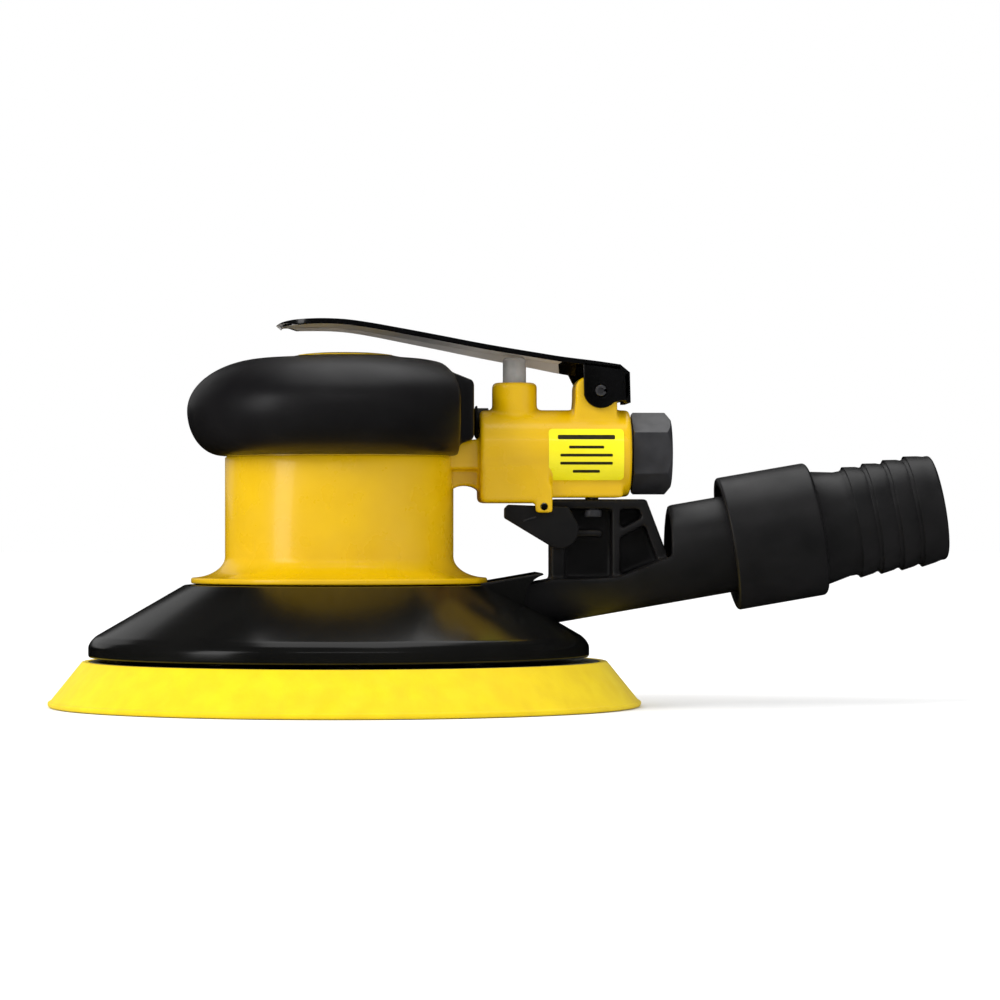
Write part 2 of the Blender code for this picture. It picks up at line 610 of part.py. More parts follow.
def build_balancer(axis):
    bearing_top = SPINDLE_BEARING_Z + SPINDLE_BEARING[2]
    pocket = SPINDLE_BEARING[1] + FIT
    hub = disc(
        "shaft_balancer", pocket + BALANCER_WALL, BALANCER_BOTTOM_Z, BALANCER_TOP_Z,
        "cast_steel", MEDIUM, axis, ORBIT,
    )
    away = -ORBIT.normalized()
    weight = disc(
        "balance_weight", WEIGHT_RADIUS, WEIGHT_BOTTOM_Z, WEIGHT_TOP_Z, None, MEDIUM, axis
    )
    low = Vector((-WEIGHT_RADIUS * 2, -WEIGHT_RADIUS * 2, WEIGHT_BOTTOM_Z - OVERCUT))
    high = Vector((WEIGHT_RADIUS * 0.1, WEIGHT_RADIUS * 2, WEIGHT_TOP_Z + OVERCUT))
    far_half = block("weight_half", low, high, None, axis)
    far_half.rotation_euler.z = ORBIT_ANGLE + pi
    far_half.location = away * (WEIGHT_RADIUS * 0.1)
    cut(weight, far_half)
    weight_turn = disc(
        "shaft_profile", COLLAR_RADIUS, BALANCER_TOP_Z - BITE, FRONT_BEARING_Z - FIT, None, SMALL, axis
    )
    lower = rod(
        "shaft_lower", FRONT_BEARING[0] - FIT, (0, 0, FRONT_BEARING_Z - BITE),
        (0, 0, REAR_BEARING_Z - FIT), None, SMALL, axis,
    )
    upper = rod(
        "shaft_upper", REAR_BEARING[0] - FIT, (0, 0, REAR_BEARING_Z - BITE),
        (0, 0, REAR_BEARING_Z + REAR_BEARING[2]), None, SMALL, axis,
    )
    join(hub, weight, weight_turn, lower, upper)
    bore = disc(
        "bearing_pocket", pocket, BALANCER_BOTTOM_Z - OVERCUT, bearing_top + FIT, None, MEDIUM,
        axis, ORBIT,
    )
    groove = disc(
        "clip_groove", pocket + CLIP_DEPTH, CLIP_GROOVE_Z, CLIP_GROOVE_Z + CLIP_GROOVE, None,
        MEDIUM, axis, ORBIT,
    )
    middle = (ROTOR_BOTTOM_Z + ROTOR_TOP_Z) / 2
    seat = block(
        "shaft_keyseat",
        (KEY_ROOT_RADIUS - FIT, -KEY_WIDTH / 2 - FIT, middle - KEY_LENGTH / 2 - FIT),
        (KEY_TOP_RADIUS, KEY_WIDTH / 2 + FIT, middle + KEY_LENGTH / 2 + FIT),
        None, axis,
    )
    cut(hub, bore, groove, seat)
    clip_low = CLIP_GROOVE_Z + FIT / 2
    clip_ring(
        "spindle_clip", SPINDLE_BEARING[1] - 1.6 * MM, SPINDLE_BEARING[1] + CLIP_DEPTH - FIT,
        clip_low, clip_low + CLIP_THICKNESS, "blackened_steel", axis, ORBIT,
    )


def build_rotor(axis):
    rotor = washer(
        "rotor", ROTOR_BORE_RADIUS, ROTOR_RADIUS, ROTOR_BOTTOM_Z, ROTOR_TOP_Z, "cast_steel", MEDIUM, axis
    )
    middle = (ROTOR_BOTTOM_Z + ROTOR_TOP_Z) / 2
    keyway = block(
        "rotor_keyway",
        (0, -KEY_WIDTH / 2 - FIT, ROTOR_BOTTOM_Z - OVERCUT),
        (KEY_TOP_RADIUS + FIT, KEY_WIDTH / 2 + FIT, ROTOR_TOP_Z + OVERCUT),
        None, axis,
    )
    cut(rotor, keyway)
    block(
        "rotor_key",
        (KEY_ROOT_RADIUS, -KEY_WIDTH / 2, middle - KEY_LENGTH / 2),
        (KEY_TOP_RADIUS, KEY_WIDTH / 2, middle + KEY_LENGTH / 2),
        "bright_steel", axis,
    )
    slot_half = VANE_THICKNESS / 2 + SLIDE_FIT
    for index in range(VANES):
        turn = 2 * pi * (index + 0.5) / VANES
        slot = block(
            f"vane_slot_{index + 1}",
            (VANE_ROOT_RADIUS - FIT, -slot_half, ROTOR_BOTTOM_Z - OVERCUT),
            (ROTOR_RADIUS + OVERCUT, slot_half, ROTOR_TOP_Z + OVERCUT),
            None, axis,
        )
        slot.rotation_euler.z = turn
        cut(rotor, slot)
        vane = block(
            f"vane_{index + 1}",
            (VANE_ROOT_RADIUS, -VANE_THICKNESS / 2, ROTOR_BOTTOM_Z),
            (ROTOR_RADIUS - FIT, VANE_THICKNESS / 2, ROTOR_TOP_Z),
            "phenolic", axis,
        )
        vane.rotation_euler.z = turn


def build_motor_stack():
    """The fixed pieces round the rotor: liner, end plates, dowel and lock ring."""
    liner = disc("cylinder_liner", LINER_RADIUS, LINER_BOTTOM_Z, LINER_TOP_Z, "cast_steel", MEDIUM)
    chamber = disc(
        "liner_bore", LINER_BORE_RADIUS, LINER_BOTTOM_Z - OVERCUT, LINER_TOP_Z + OVERCUT, None,
        MEDIUM, None, (0, LINER_OFFSET, 0),
    )
    inlet = rod(
        "liner_inlet", AIR_PASSAGE_RADIUS * LINER_INLET_SHARE, (LINER_BORE_RADIUS - 3 * MM, 0, VALVE_Z),
        (LINER_RADIUS + OVERCUT, 0, VALVE_Z), None, TINY,
    )
    cut(liner, chamber, inlet)
    for level in EXHAUST_PORTS_Z:
        port = block(
            f"liner_exhaust_{round(level / MM)}",
            (-LINER_RADIUS - OVERCUT, -EXHAUST_PORT_HALF_WIDTH, level - EXHAUST_PORT_HALF_HEIGHT),
            (-LINER_BORE_RADIUS + 3 * MM, EXHAUST_PORT_HALF_WIDTH, level + EXHAUST_PORT_HALF_HEIGHT),
        )
        cut(liner, port)
    pocket = FRONT_BEARING[1] + FIT
    front = turned(
        "front_end_plate",
        [
            (COLLAR_RADIUS, FRONT_BEARING_Z + FRONT_BEARING[2] + FIT),
            (pocket, FRONT_BEARING_Z + FRONT_BEARING[2] + FIT),
            (pocket, FRONT_BEARING_Z),
            (pocket + BOSS_WALL, FRONT_BEARING_Z),
            (pocket + BOSS_WALL, FRONT_PLATE_Z),
            (LINER_RADIUS, FRONT_PLATE_Z),
            (LINER_RADIUS, FRONT_PLATE_TOP_Z),
            (COLLAR_RADIUS, FRONT_PLATE_TOP_Z),
        ],
        "cast_steel", MEDIUM,
    )
    rear_pocket = REAR_BEARING[1] + FIT
    boss_top = REAR_BEARING_Z + REAR_BEARING[2] + FIT / 2
    rear = turned(
        "rear_end_plate",
        [
            (REAR_BEARING[0] + RACE_ROOM, REAR_PLATE_Z),
            (LINER_RADIUS, REAR_PLATE_Z),
            (LINER_RADIUS, REAR_PLATE_Z + END_PLATE),
            (rear_pocket + BOSS_WALL, REAR_PLATE_Z + END_PLATE),
            (rear_pocket + BOSS_WALL, boss_top),
            (rear_pocket, boss_top),
            (rear_pocket, REAR_BEARING_Z - FIT),
            (REAR_BEARING[0] + RACE_ROOM, REAR_BEARING_Z - FIT),
        ],
        "cast_steel", MEDIUM,
    )
    dowel_low, dowel_high = FRONT_PLATE_Z + FIT, REAR_PLATE_Z + END_PLATE - FIT
    hole = rod(
        "dowel_hole", DOWEL_RADIUS + FIT, DOWEL_PLACE + Vector((0, 0, dowel_low - OVERCUT)),
        DOWEL_PLACE + Vector((0, 0, dowel_high + OVERCUT)), None, TINY,
    )
    for piece in (liner, front, rear):
        cut(piece, hole)
    rod(
        "liner_dowel", DOWEL_RADIUS, DOWEL_PLACE + Vector((0, 0, dowel_low)),
        DOWEL_PLACE + Vector((0, 0, dowel_high)), "bright_steel", TINY,
    )
    ring = washer(
        "lock_ring", pocket + BOSS_WALL + FIT, LINER_RADIUS, HOUSING_BASE_Z + BITE,
        FRONT_PLATE_Z - FIT, "bright_steel", MEDIUM,
    )
    for index in range(4):
        notch = block(
            f"lock_ring_notch_{index + 1}", (pocket, -LOCK_NOTCH_HALF_WIDTH, HOUSING_BASE_Z - OVERCUT),
            (LINER_RADIUS + OVERCUT, LOCK_NOTCH_HALF_WIDTH, HOUSING_BASE_Z + LOCK_NOTCH_DEPTH),
        )
        notch.rotation_euler.z = pi / 4 + index * pi / 2
        cut(ring, notch)


# ---- housing casting ----------------------------------------------------------------------
def build_housing():
    seam = SEAM_Z - FIT
    neck = HOUSING_RADIUS - NECK_STEP
    fillet_reach = FLANGE_RADIUS - HOUSING_RADIUS
    lip_z = HOUSING_BASE_Z + FLANGE_LIP
    fillet = arc((FLANGE_RADIUS, lip_z + FLANGE_FILLET), (fillet_reach, FLANGE_FILLET), 270, 180, 5)
    shell = turned(
        "motor_housing",
        [
            (0, BORE_TOP_Z), (HOUSING_BORE_RADIUS, BORE_TOP_Z),
            (HOUSING_BORE_RADIUS, HOUSING_BASE_Z), (FLANGE_RADIUS, HOUSING_BASE_Z),
            *fillet,
            (HOUSING_RADIUS, seam), (neck, seam), (neck, HOUSING_TOP_Z - 3 * MM),
            (neck - 4 * MM, HOUSING_TOP_Z), (0, HOUSING_TOP_Z),
        ],
        "yellow_enamel", WIDE, False,
    )
    barrel = rod(
        "valve_barrel", VALVE_RADIUS, (VALVE_START_X, 0, VALVE_Z), (VALVE_END_X, 0, VALVE_Z), None, WIDE
    )
    lower = block(
        "valve_block",
        (VALVE_START_X, -BLOCK_HALF_WIDTH, BLOCK_BOTTOM_Z),
        (BLOCK_END_X, BLOCK_HALF_WIDTH, VALVE_Z),
    )
    saddle = block(
        "valve_saddle",
        (BLOCK_END_X - BITE, -SADDLE_HALF_WIDTH, SADDLE_BOTTOM_Z),
        (VALVE_END_X - 2 * MM, SADDLE_HALF_WIDTH, VALVE_Z),
    )
    bridge = block(
        "bridge_upper",
        (BRIDGE_START_X, -BRIDGE_HALF_WIDTH, BRIDGE_MIDDLE_Z),
        (VALVE_START_X + 1 * MM, BRIDGE_HALF_WIDTH, BRIDGE_TOP_Z),
    )
    web = block(
        "bridge_lower",
        (BRIDGE_START_X, -BRIDGE_HALF_WIDTH + 2 * MM, BRIDGE_BOTTOM_Z),
        (VALVE_START_X + 1 * MM, BRIDGE_HALF_WIDTH - 2 * MM, BRIDGE_MIDDLE_Z + BITE),
    )
    boss = rod("stem_boss", BOSS_RADIUS, (STEM_X, 0, VALVE_Z), (STEM_X, 0, BOSS_TOP_Z), None, SMALL)
    lug_top = PIVOT_Z + LUG_TOP_RADIUS
    lug_outline = [
        (LUG_START_X, VALVE_Z), (LUG_END_X, VALVE_Z), (LUG_END_X, PIVOT_Z),
        (LUG_END_X - LUG_CORNER, lug_top), (LUG_START_X + LUG_CORNER, lug_top), (LUG_START_X, PIVOT_Z),
    ]
    lug = plate("lever_lug", lug_outline, -LUG_HALF_WIDTH, LUG_HALF_WIDTH)
    tab_high = [corner + size for corner, size in zip(TAB_CORNER, TAB_SIZE)]
    tab = block("regulator_tab", TAB_CORNER, (*tab_high[:2], BLOCK_BOTTOM_Z + BITE))
    join(shell, bridge, web, barrel, lower, saddle, boss, lug, tab)

    chamber = turned(
        "valve_chamber",
        [
            (0, HOUSING_BORE_RADIUS - 1 * MM), (AIR_PASSAGE_RADIUS, HOUSING_BORE_RADIUS - 1 * MM),
            (AIR_PASSAGE_RADIUS, CHAMBER_START_X), (VALVE_BORE_RADIUS, CHAMBER_START_X),
            (VALVE_BORE_RADIUS, VALVE_END_X - THREAD_LENGTH),
            (THREAD_RADIUS, VALVE_END_X - THREAD_LENGTH), (THREAD_RADIUS, VALVE_END_X + OVERCUT),
            (0, VALVE_END_X + OVERCUT),
        ],
        None, SMALL, False,
    )
    lay_along(chamber, (1, 0, 0), (0, 0, VALVE_Z))
    sleeve_bottom = BOSS_TOP_Z - SLEEVE_LENGTH - 2 * FIT
    stem_hole = turned(
        "stem_hole",
        [
            (0, VALVE_Z + STEM_HOLE_RISE), (STEM_RADIUS + SLIDE_FIT, VALVE_Z + STEM_HOLE_RISE),
            (STEM_RADIUS + SLIDE_FIT, sleeve_bottom),
            (SLEEVE_RADIUS + FIT, sleeve_bottom), (SLEEVE_RADIUS + FIT, BOSS_TOP_Z + OVERCUT),
            (0, BOSS_TOP_Z + OVERCUT),
        ],
        None, SMALL, False, None, (STEM_X, 0, 0),
    )
    pin_hole = rod(
        "pin_hole", PIN_RADIUS + FIT, (PIVOT_X, -LUG_HALF_WIDTH - OVERCUT, PIVOT_Z),
        (PIVOT_X, LUG_HALF_WIDTH + OVERCUT, PIVOT_Z), None, TINY,
    )
    plug_z = BRIDGE_TOP_Z + PLUG_HEAD_RADIUS + FIT
    plug_hole = rod(
        "plug_hole", PLUG_RADIUS + FIT, (VALVE_START_X - OVERCUT, 0, plug_z),
        (VALVE_START_X + 3 * MM, 0, plug_z), None, TINY,
    )
    cut(shell, chamber)
    cut(shell, stem_hole, pin_hole, plug_hole, solver="MANIFOLD")
    for index, side in enumerate((-1, 1)):
        hole = rod(
            f"duct_screw_hole_{index + 1}", SCREW_RADIUS + FIT,
            (SCREW_X, side * SCREW_Y, SADDLE_BOTTOM_Z - OVERCUT),
            (SCREW_X, side * SCREW_Y, BRACKET_TOP_Z + SCREW_LENGTH), None, TINY,
        )
        cut(shell, hole, solver="MANIFOLD")
    tab_middle = [(low + high) / 2 for low, high in zip(TAB_CORNER, tab_high)]
    pin_z = TAB_CORNER[2] + STOP_PIN_RISE
    stop_hole = rod(
        "stop_pin_hole", STOP_PIN_RADIUS + FIT, (tab_middle[0], TAB_CORNER[1] - OVERCUT, pin_z),
        (tab_middle[0], tab_high[1] + OVERCUT, pin_z), None, TINY,
    )
    cut(shell, stop_hole, solver="MANIFOLD")
    rod(
        "regulator_stop_pin", STOP_PIN_RADIUS, (tab_middle[0], TAB_CORNER[1] - FIT, pin_z),
        (tab_middle[0], tab_high[1], pin_z), "bright_steel", TINY,
    )
    plug = rod(
        "bore_plug", PLUG_RADIUS, (VALVE_START_X - FIT - BITE, 0, plug_z),
        (VALVE_START_X + PLUG_DEPTH, 0, plug_z), "nitrile", TINY,
    )
    head = rod(
        "plug_head", PLUG_HEAD_RADIUS, (VALVE_START_X - FIT - PLUG_HEAD + BITE, 0, plug_z),
        (VALVE_START_X - FIT, 0, plug_z), None, TINY,
    )
    join(plug, head)
    return shell


# ---- grip and badge -----------------------------------------------------------------------
def oval(name, half_length, half_width, bottom, top, finish=None):
    bm = bmesh.new()
    bmesh.ops.create_cone(bm, cap_ends=True, segments=MEDIUM, radius1=1, radius2=1, depth=1)
    size = Matrix.Diagonal((half_length, half_width, top - bottom, 1))
    place = Matrix.Translation((BADGE_CENTRE_X, 0, (bottom + top) / 2))
    bmesh.ops.transform(bm, matrix=place @ size, verts=bm.verts)
    return finish_mesh(name, bm, finish)


def build_grip():
    lower_reach = GRIP_RADIUS - GRIP_LOWER_CENTRE
    upper_reach = GRIP_RADIUS - GRIP_UPPER_CENTRE
    waist_drop = GRIP_WAIST_Z - SEAM_Z
    skin = list(arc((GRIP_LOWER_CENTRE, GRIP_WAIST_Z), (lower_reach, waist_drop), -82, 0, 6))
    skin += list(arc((GRIP_UPPER_CENTRE, GRIP_WAIST_Z), (upper_reach, GRIP_UPPER_RISE), 0, 90, 8))[1:]
    top_z = GRIP_WAIST_Z + GRIP_UPPER_RISE
    neck = GRIP_BORE_RADIUS
    grip = turned(
        "grip_cover",
        [
            (0, GRIP_ROOF_Z), (neck - 4 * MM, GRIP_ROOF_Z), (neck, GRIP_ROOF_Z - 3 * MM),
            (neck, SEAM_Z), *skin[:-1], (0, top_z),
        ],
        "black_rubber", WIDE, False,
    )
    opening = oval(
        "badge_opening", BADGE_HALF_LENGTH + FIT, BADGE_HALF_WIDTH + FIT, GRIP_ROOF_Z - OVERCUT,
        top_z + OVERCUT,
    )
    reach = GRIP_RADIUS * 1.2
    end = block("grip_end", (GRIP_END_X, -reach, SEAM_Z - OVERCUT), (reach, reach, top_z + OVERCUT))
    cut(grip, opening, end)
    for index, side in enumerate((-1, 1)):
        inner, outer = side * GRIP_TAIL_HALF_WIDTH, side * reach
        lobe = block(
            f"grip_lobe_end_{index + 1}",
            (GRIP_LOBE_X, min(inner, outer), SEAM_Z - OVERCUT),
            (reach, max(inner, outer), top_z + OVERCUT),
        )
        cut(grip, lobe)
    under = [
        (GRIP_TAIL_START_X, SEAM_Z - OVERCUT), (GRIP_TAIL_START_X, SEAM_Z + 0.01 * MM),
        (GRIP_END_X + OVERCUT, GRIP_TAIL_Z + OVERCUT / 3), (GRIP_END_X + OVERCUT, SEAM_Z - OVERCUT),
    ]
    cut(grip, plate("grip_underside", under, -BRIDGE_HALF_WIDTH - FIT, BRIDGE_HALF_WIDTH + FIT))
    bridge_room = block(
        "grip_bridge_room",
        (HOUSING_RADIUS - 6 * MM, -BRIDGE_HALF_WIDTH - FIT, SEAM_Z - OVERCUT),
        (reach, BRIDGE_HALF_WIDTH + FIT, BRIDGE_TOP_Z + FIT),
    )
    cut(grip, bridge_room)
    bm = bmesh.new()
    badge_bottom = HOUSING_TOP_Z + FIT
    dome = BADGE_TOP_Z - badge_bottom
    bmesh.ops.create_uvsphere(bm, u_segments=MEDIUM, v_segments=12, radius=1)
    lower = [v for v in bm.verts if v.co.z < -1e-4]
    bmesh.ops.delete(bm, geom=lower, context="VERTS")
    rim = [edge for edge in bm.edges if edge.is_boundary]
    bmesh.ops.holes_fill(bm, edges=rim)
    crown = dome * BADGE_CROWN_SHARE
    for vert in bm.verts:
        vert.co = Vector((
            vert.co.x * BADGE_HALF_LENGTH, vert.co.y * BADGE_HALF_WIDTH, vert.co.z * crown
        ))
    bottom_face = max(bm.faces, key=lambda face: len(face.verts))
    grown = bmesh.ops.extrude_face_region(bm, geom=[bottom_face])["geom"]
    moved = [item for item in grown if isinstance(item, bmesh.types.BMVert)]
    bmesh.ops.translate(bm, vec=(0, 0, crown - dome), verts=moved)
    bmesh.ops.delete(bm, geom=[bottom_face], context="FACES")
    bmesh.ops.translate(bm, vec=(BADGE_CENTRE_X, 0, BADGE_TOP_Z - crown), verts=bm.verts)
    finish_mesh("badge", bm, "black_plastic")


# ---- valve train --------------------------------------------------------------------------
def build_valve():
    top = BOSS_TOP_Z - FIT
    washer(
        "stem_sleeve", STEM_RADIUS + SLIDE_FIT, SLEEVE_RADIUS, top - SLEEVE_LENGTH, top, "brass",
        SMALL, None, (STEM_X, 0, 0),
    )
    seat_x = TILT_DISC_X - FIT - SEAT_LENGTH
    seat = washer("valve_seat", SEAT_BORE_RADIUS, SEAT_RADIUS, 0, SEAT_LENGTH, "nitrile", SMALL)
    lay_along(seat, (1, 0, 0), (seat_x, 0, VALVE_Z))
    spring_start = TILT_DISC_X + TILT_DISC + FIT + SPRING_WIRE_RADIUS
    spring_end = BUSHING_START_X + SCREEN_THICKNESS - FIT - SPRING_WIRE_RADIUS
    coil = bpy.data.curves.new("valve_spring", "CURVE")
    coil.dimensions = "3D"
    coil.bevel_depth = SPRING_WIRE_RADIUS
    coil.bevel_resolution = 1
    coil.use_fill_caps = True
    line = coil.splines.new("POLY")
    count = SPRING_TURNS * SPRING_STEPS
    line.points.add(count)
    for index, point in enumerate(line.points):
        share = index / count
        angle = 2 * pi * SPRING_TURNS * share
        point.co = (
            spring_start + (spring_end - spring_start) * share,
            SPRING_RADIUS * cos(angle), VALVE_Z + SPRING_RADIUS * sin(angle), 1,
        )
    spring = bpy.data.objects.new("valve_spring", coil)
    bpy.context.collection.objects.link(spring)
    add_material(spring, "bright_steel")


def build_bushing():
    corner = HEX_ACROSS_FLATS / 2 / cos(radians(30))
    bm = bmesh.new()
    corner_up = Matrix.Rotation(radians(30), 4, "Z")
    bmesh.ops.create_cone(
        bm, cap_ends=True, segments=6, radius1=corner, radius2=corner, depth=HEX_LENGTH,
        matrix=corner_up,
    )
    head = finish_mesh("inlet_bushing", bm, "blackened_steel")
    lay_along(head, (1, 0, 0), (HEX_START_X + HEX_LENGTH / 2, 0, VALVE_Z))
    shank = rod(
        "bushing_shank", THREAD_RADIUS - FIT, (BUSHING_START_X, 0, VALVE_Z),
        (HEX_START_X + BITE, 0, VALVE_Z), None, SMALL,
    )
    join(head, shank)
    bore = rod(
        "inlet_bore", INLET_RADIUS, (BUSHING_START_X + SCREEN_THICKNESS + FIT, 0, VALVE_Z),
        (HEX_START_X + HEX_LENGTH + OVERCUT, 0, VALVE_Z), None, SMALL,
    )
    relief = rod(
        "screen_relief", SPRING_RADIUS + 1.2 * MM, (BUSHING_START_X - OVERCUT, 0, VALVE_Z),
        (HEX_START_X, 0, VALVE_Z), None, SMALL,
    )
    cut(head, bore, relief)
    screen_x = BUSHING_START_X + SCREEN_THICKNESS + 2 * FIT
    screen = washer(
        "inlet_screen", 1.0 * MM, INLET_RADIUS - FIT, 0, SCREEN_THICKNESS, "brass", SMALL
    )
    lay_along(screen, (1, 0, 0), (screen_x, 0, VALVE_Z))


def build_stem(axis):
    stem_top = STEM_TOP_Z - BOSS_TOP_Z
    stem_bottom = STEM_BOTTOM_Z - BOSS_TOP_Z
    turned(
        "valve_stem",
        [
            (0, stem_bottom), (STEM_NOSE_RADIUS, stem_bottom),
            (STEM_RADIUS, stem_bottom + STEM_NOSE), (STEM_RADIUS, stem_top - STEM_CHAMFER),
            (STEM_RADIUS - STEM_CHAMFER, stem_top), (0, stem_top),
        ],
        "grey_plastic", SMALL, False, axis,
    )


def build_tilt_valve(axis):
    """The disc and rod that the stem tips over; the axis is the disc's upper edge."""
    centre = Vector((0, 0, -TILT_DISC_RADIUS))
    tilt = rod(
        "tilt_valve", TILT_DISC_RADIUS, centre, centre + Vector((TILT_DISC, 0, 0)), "brass", SMALL, axis
    )
    reach = TILT_DISC_X - STEM_X + STEM_RADIUS * 0.5
    pin = rod(
        "tilt_rod", TILT_ROD_RADIUS, centre - Vector((reach, 0, 0)), centre + Vector((BITE, 0, 0)),
        None, TINY, axis,
    )
    return join(tilt, pin)


# ---- throttle lever -----------------------------------------------------------------------
def lever_top_line():
    """The lever's upper edge from its tip to the rear corner, as (x, z) about the pivot."""
    places = [
        (TIP_X, LEVER_TIP_Z), *LEVER_LINE,
        (REAR_X - LEVER_HEEL[0], LEVER_HEEL[1]),
    ]
    return [(x - PIVOT_X, z - PIVOT_Z) for x, z in places]


def build_lever(axis):
    top = lever_top_line()
    rear, rear_bottom = REAR_X - PIVOT_X, REAR_BOTTOM_Z - PIVOT_Z
    corner = [(rear - 0.6 * MM, top[-1][1] - 0.6 * MM), (rear, top[-1][1] - 2 * MM)]
    wall = rear - SHEET * 1.3
    outer = top + corner + [(rear, rear_bottom), (wall, rear_bottom)]
    underside = [(x, z - SHEET) for x, z in reversed(top)]
    underside[0] = (wall, top[-1][1] - SHEET)
    sheet = plate("throttle_lever", outer + underside, -EAR_OUTER_Y, EAR_OUTER_Y, "black_enamel", axis)
    edge_line = top[:5] + [(top[5][0] - 12 * MM, top[5][1] + 2.2 * MM)]
    handle = [*edge_line, *[(x, z - HANDLE_EDGE) for x, z in reversed(edge_line[1:])]]
    shoulder = plate("lever_handle", handle, -HANDLE_HALF_WIDTH, HANDLE_HALF_WIDTH, None, axis)
    hollow = [(x + 1 * MM, z - SHEET) for x, z in edge_line]
    hollow += [(x + 1 * MM, z - HANDLE_EDGE - OVERCUT) for x, z in reversed(edge_line)]
    hollow[0] = (hollow[0][0] + 3 * MM, hollow[0][1] - 0.2 * MM)
    inside = HANDLE_HALF_WIDTH - SHEET
    under = plate("lever_hollow", hollow, -inside, inside, None, axis)
    join(sheet, shoulder)
    cut(sheet, under)
    ear_left, ear_right = -EAR_RADIUS, rear - BITE
    ear_top = top[-1][1] - SHEET / 2
    outline = [
        *arc((0, 0), (EAR_RADIUS, EAR_RADIUS), 180, 360, 8),
        (ear_right, 2 * MM), (ear_right, ear_top - 0.4 * MM), (ear_left, ear_top + 0.6 * MM),
    ]
    for index, side in enumerate((-1, 1)):
        low, high = sorted((side * EAR_INNER_Y, side * EAR_OUTER_Y))
        join(sheet, plate(f"lever_ear_{index + 1}", outline, low, high, None, axis))
    hole = rod(
        "lever_pin_hole", PIN_RADIUS + SLIDE_FIT, (0, -EAR_OUTER_Y - OVERCUT, 0),
        (0, EAR_OUTER_Y + OVERCUT, 0), None, TINY, axis,
    )
    cut(sheet, hole)
    pin_reach = EAR_OUTER_Y + 0.2 * MM
    rod(
        "lever_pin", PIN_RADIUS, (PIVOT_X, -pin_reach, PIVOT_Z), (PIVOT_X, pin_reach, PIVOT_Z),
        "blackened_steel", TINY,
    )


# ---- shroud -------------------------------------------------------------------------------
def laid_on_duct(name, radius, first, last, finish=None, steps=MEDIUM):
    return rod(name, radius, along_duct(first), along_duct(last), finish, steps)


def build_shroud():
    shoulder_z = SHROUD_RIM_Z + SHROUD_RIM_HEIGHT
    shell = turned(
        "dust_shroud",
        [
            (0, SHROUD_RIM_Z), (SHROUD_RADIUS - SHROUD_EDGE_BREAK, SHROUD_RIM_Z),
            (SHROUD_RADIUS, SHROUD_RIM_Z + 1 * MM), (SHROUD_RADIUS, shoulder_z),
            (SHROUD_RADIUS - 0.5 * MM, shoulder_z + SHROUD_SHOULDER),
            (SHROUD_CONE_RADIUS, SHROUD_CONE_Z), (SHROUD_TOP_RADIUS, SHROUD_TOP_Z), (0, SHROUD_TOP_Z),
        ],
        "black_plastic", WIDE, False,
    )
    port_last = (PORT_END_X - DUCT_START_X) / cos(DUCT_TILT)
    port = laid_on_duct("port_outer", PORT_RADIUS, -20 * MM, port_last)
    rise = FIT + PORT_WALL - DUCT_ROOF_DROP
    roof = plate(
        "port_roof",
        [
            duct_xz(-40 * MM, rise), duct_xz(60 * MM, rise),
            duct_xz(60 * MM, 40 * MM), duct_xz(-40 * MM, 40 * MM),
        ],
        -30 * MM, 30 * MM,
    )
    cut(port, roof)
    join(shell, port)
    cone_drop = SHROUD_WALL * sqrt(1 + CONE_SLOPE**2)
    inner_radius = SHROUD_RADIUS - SHROUD_WALL - SHROUD_EDGE_BREAK
    roof_z = SHROUD_TOP_Z - SHROUD_WALL - 0.2 * MM
    inner_top = SHROUD_TOP_RADIUS + (SHROUD_TOP_Z - cone_drop - roof_z) / CONE_SLOPE
    inner_low_z = SHROUD_TOP_Z - cone_drop - (inner_radius - SHROUD_TOP_RADIUS) * CONE_SLOPE
    cavity = turned(
        "shroud_cavity",
        [
            (0, SHROUD_RIM_Z - OVERCUT), (inner_radius, SHROUD_RIM_Z - OVERCUT),
            (inner_radius, inner_low_z), (inner_top, roof_z), (0, roof_z),
        ],
        None, WIDE, False,
    )
    hole = disc("shroud_hole", SHROUD_HOLE_RADIUS, roof_z - OVERCUT, SHROUD_TOP_Z + OVERCUT, None, MEDIUM)
    bore = laid_on_duct("port_bore", TUBE_RADIUS + FIT, -20 * MM, 30 * MM)
    slanted = plate(
        "port_bore_roof",
        [
            duct_xz(-40 * MM, FIT - DUCT_ROOF_DROP), duct_xz(60 * MM, FIT - DUCT_ROOF_DROP),
            duct_xz(60 * MM, 40 * MM), duct_xz(-40 * MM, 40 * MM),
        ],
        -30 * MM, 30 * MM,
    )
    cut(bore, slanted)
    flange_room = disc(
        "flange_room", FLANGE_RADIUS + 2 * FIT, SHROUD_TOP_Z, SHROUD_TOP_Z + 20 * MM, None, WIDE
    )
    cut(shell, cavity, hole, bore, flange_room)
    return shell


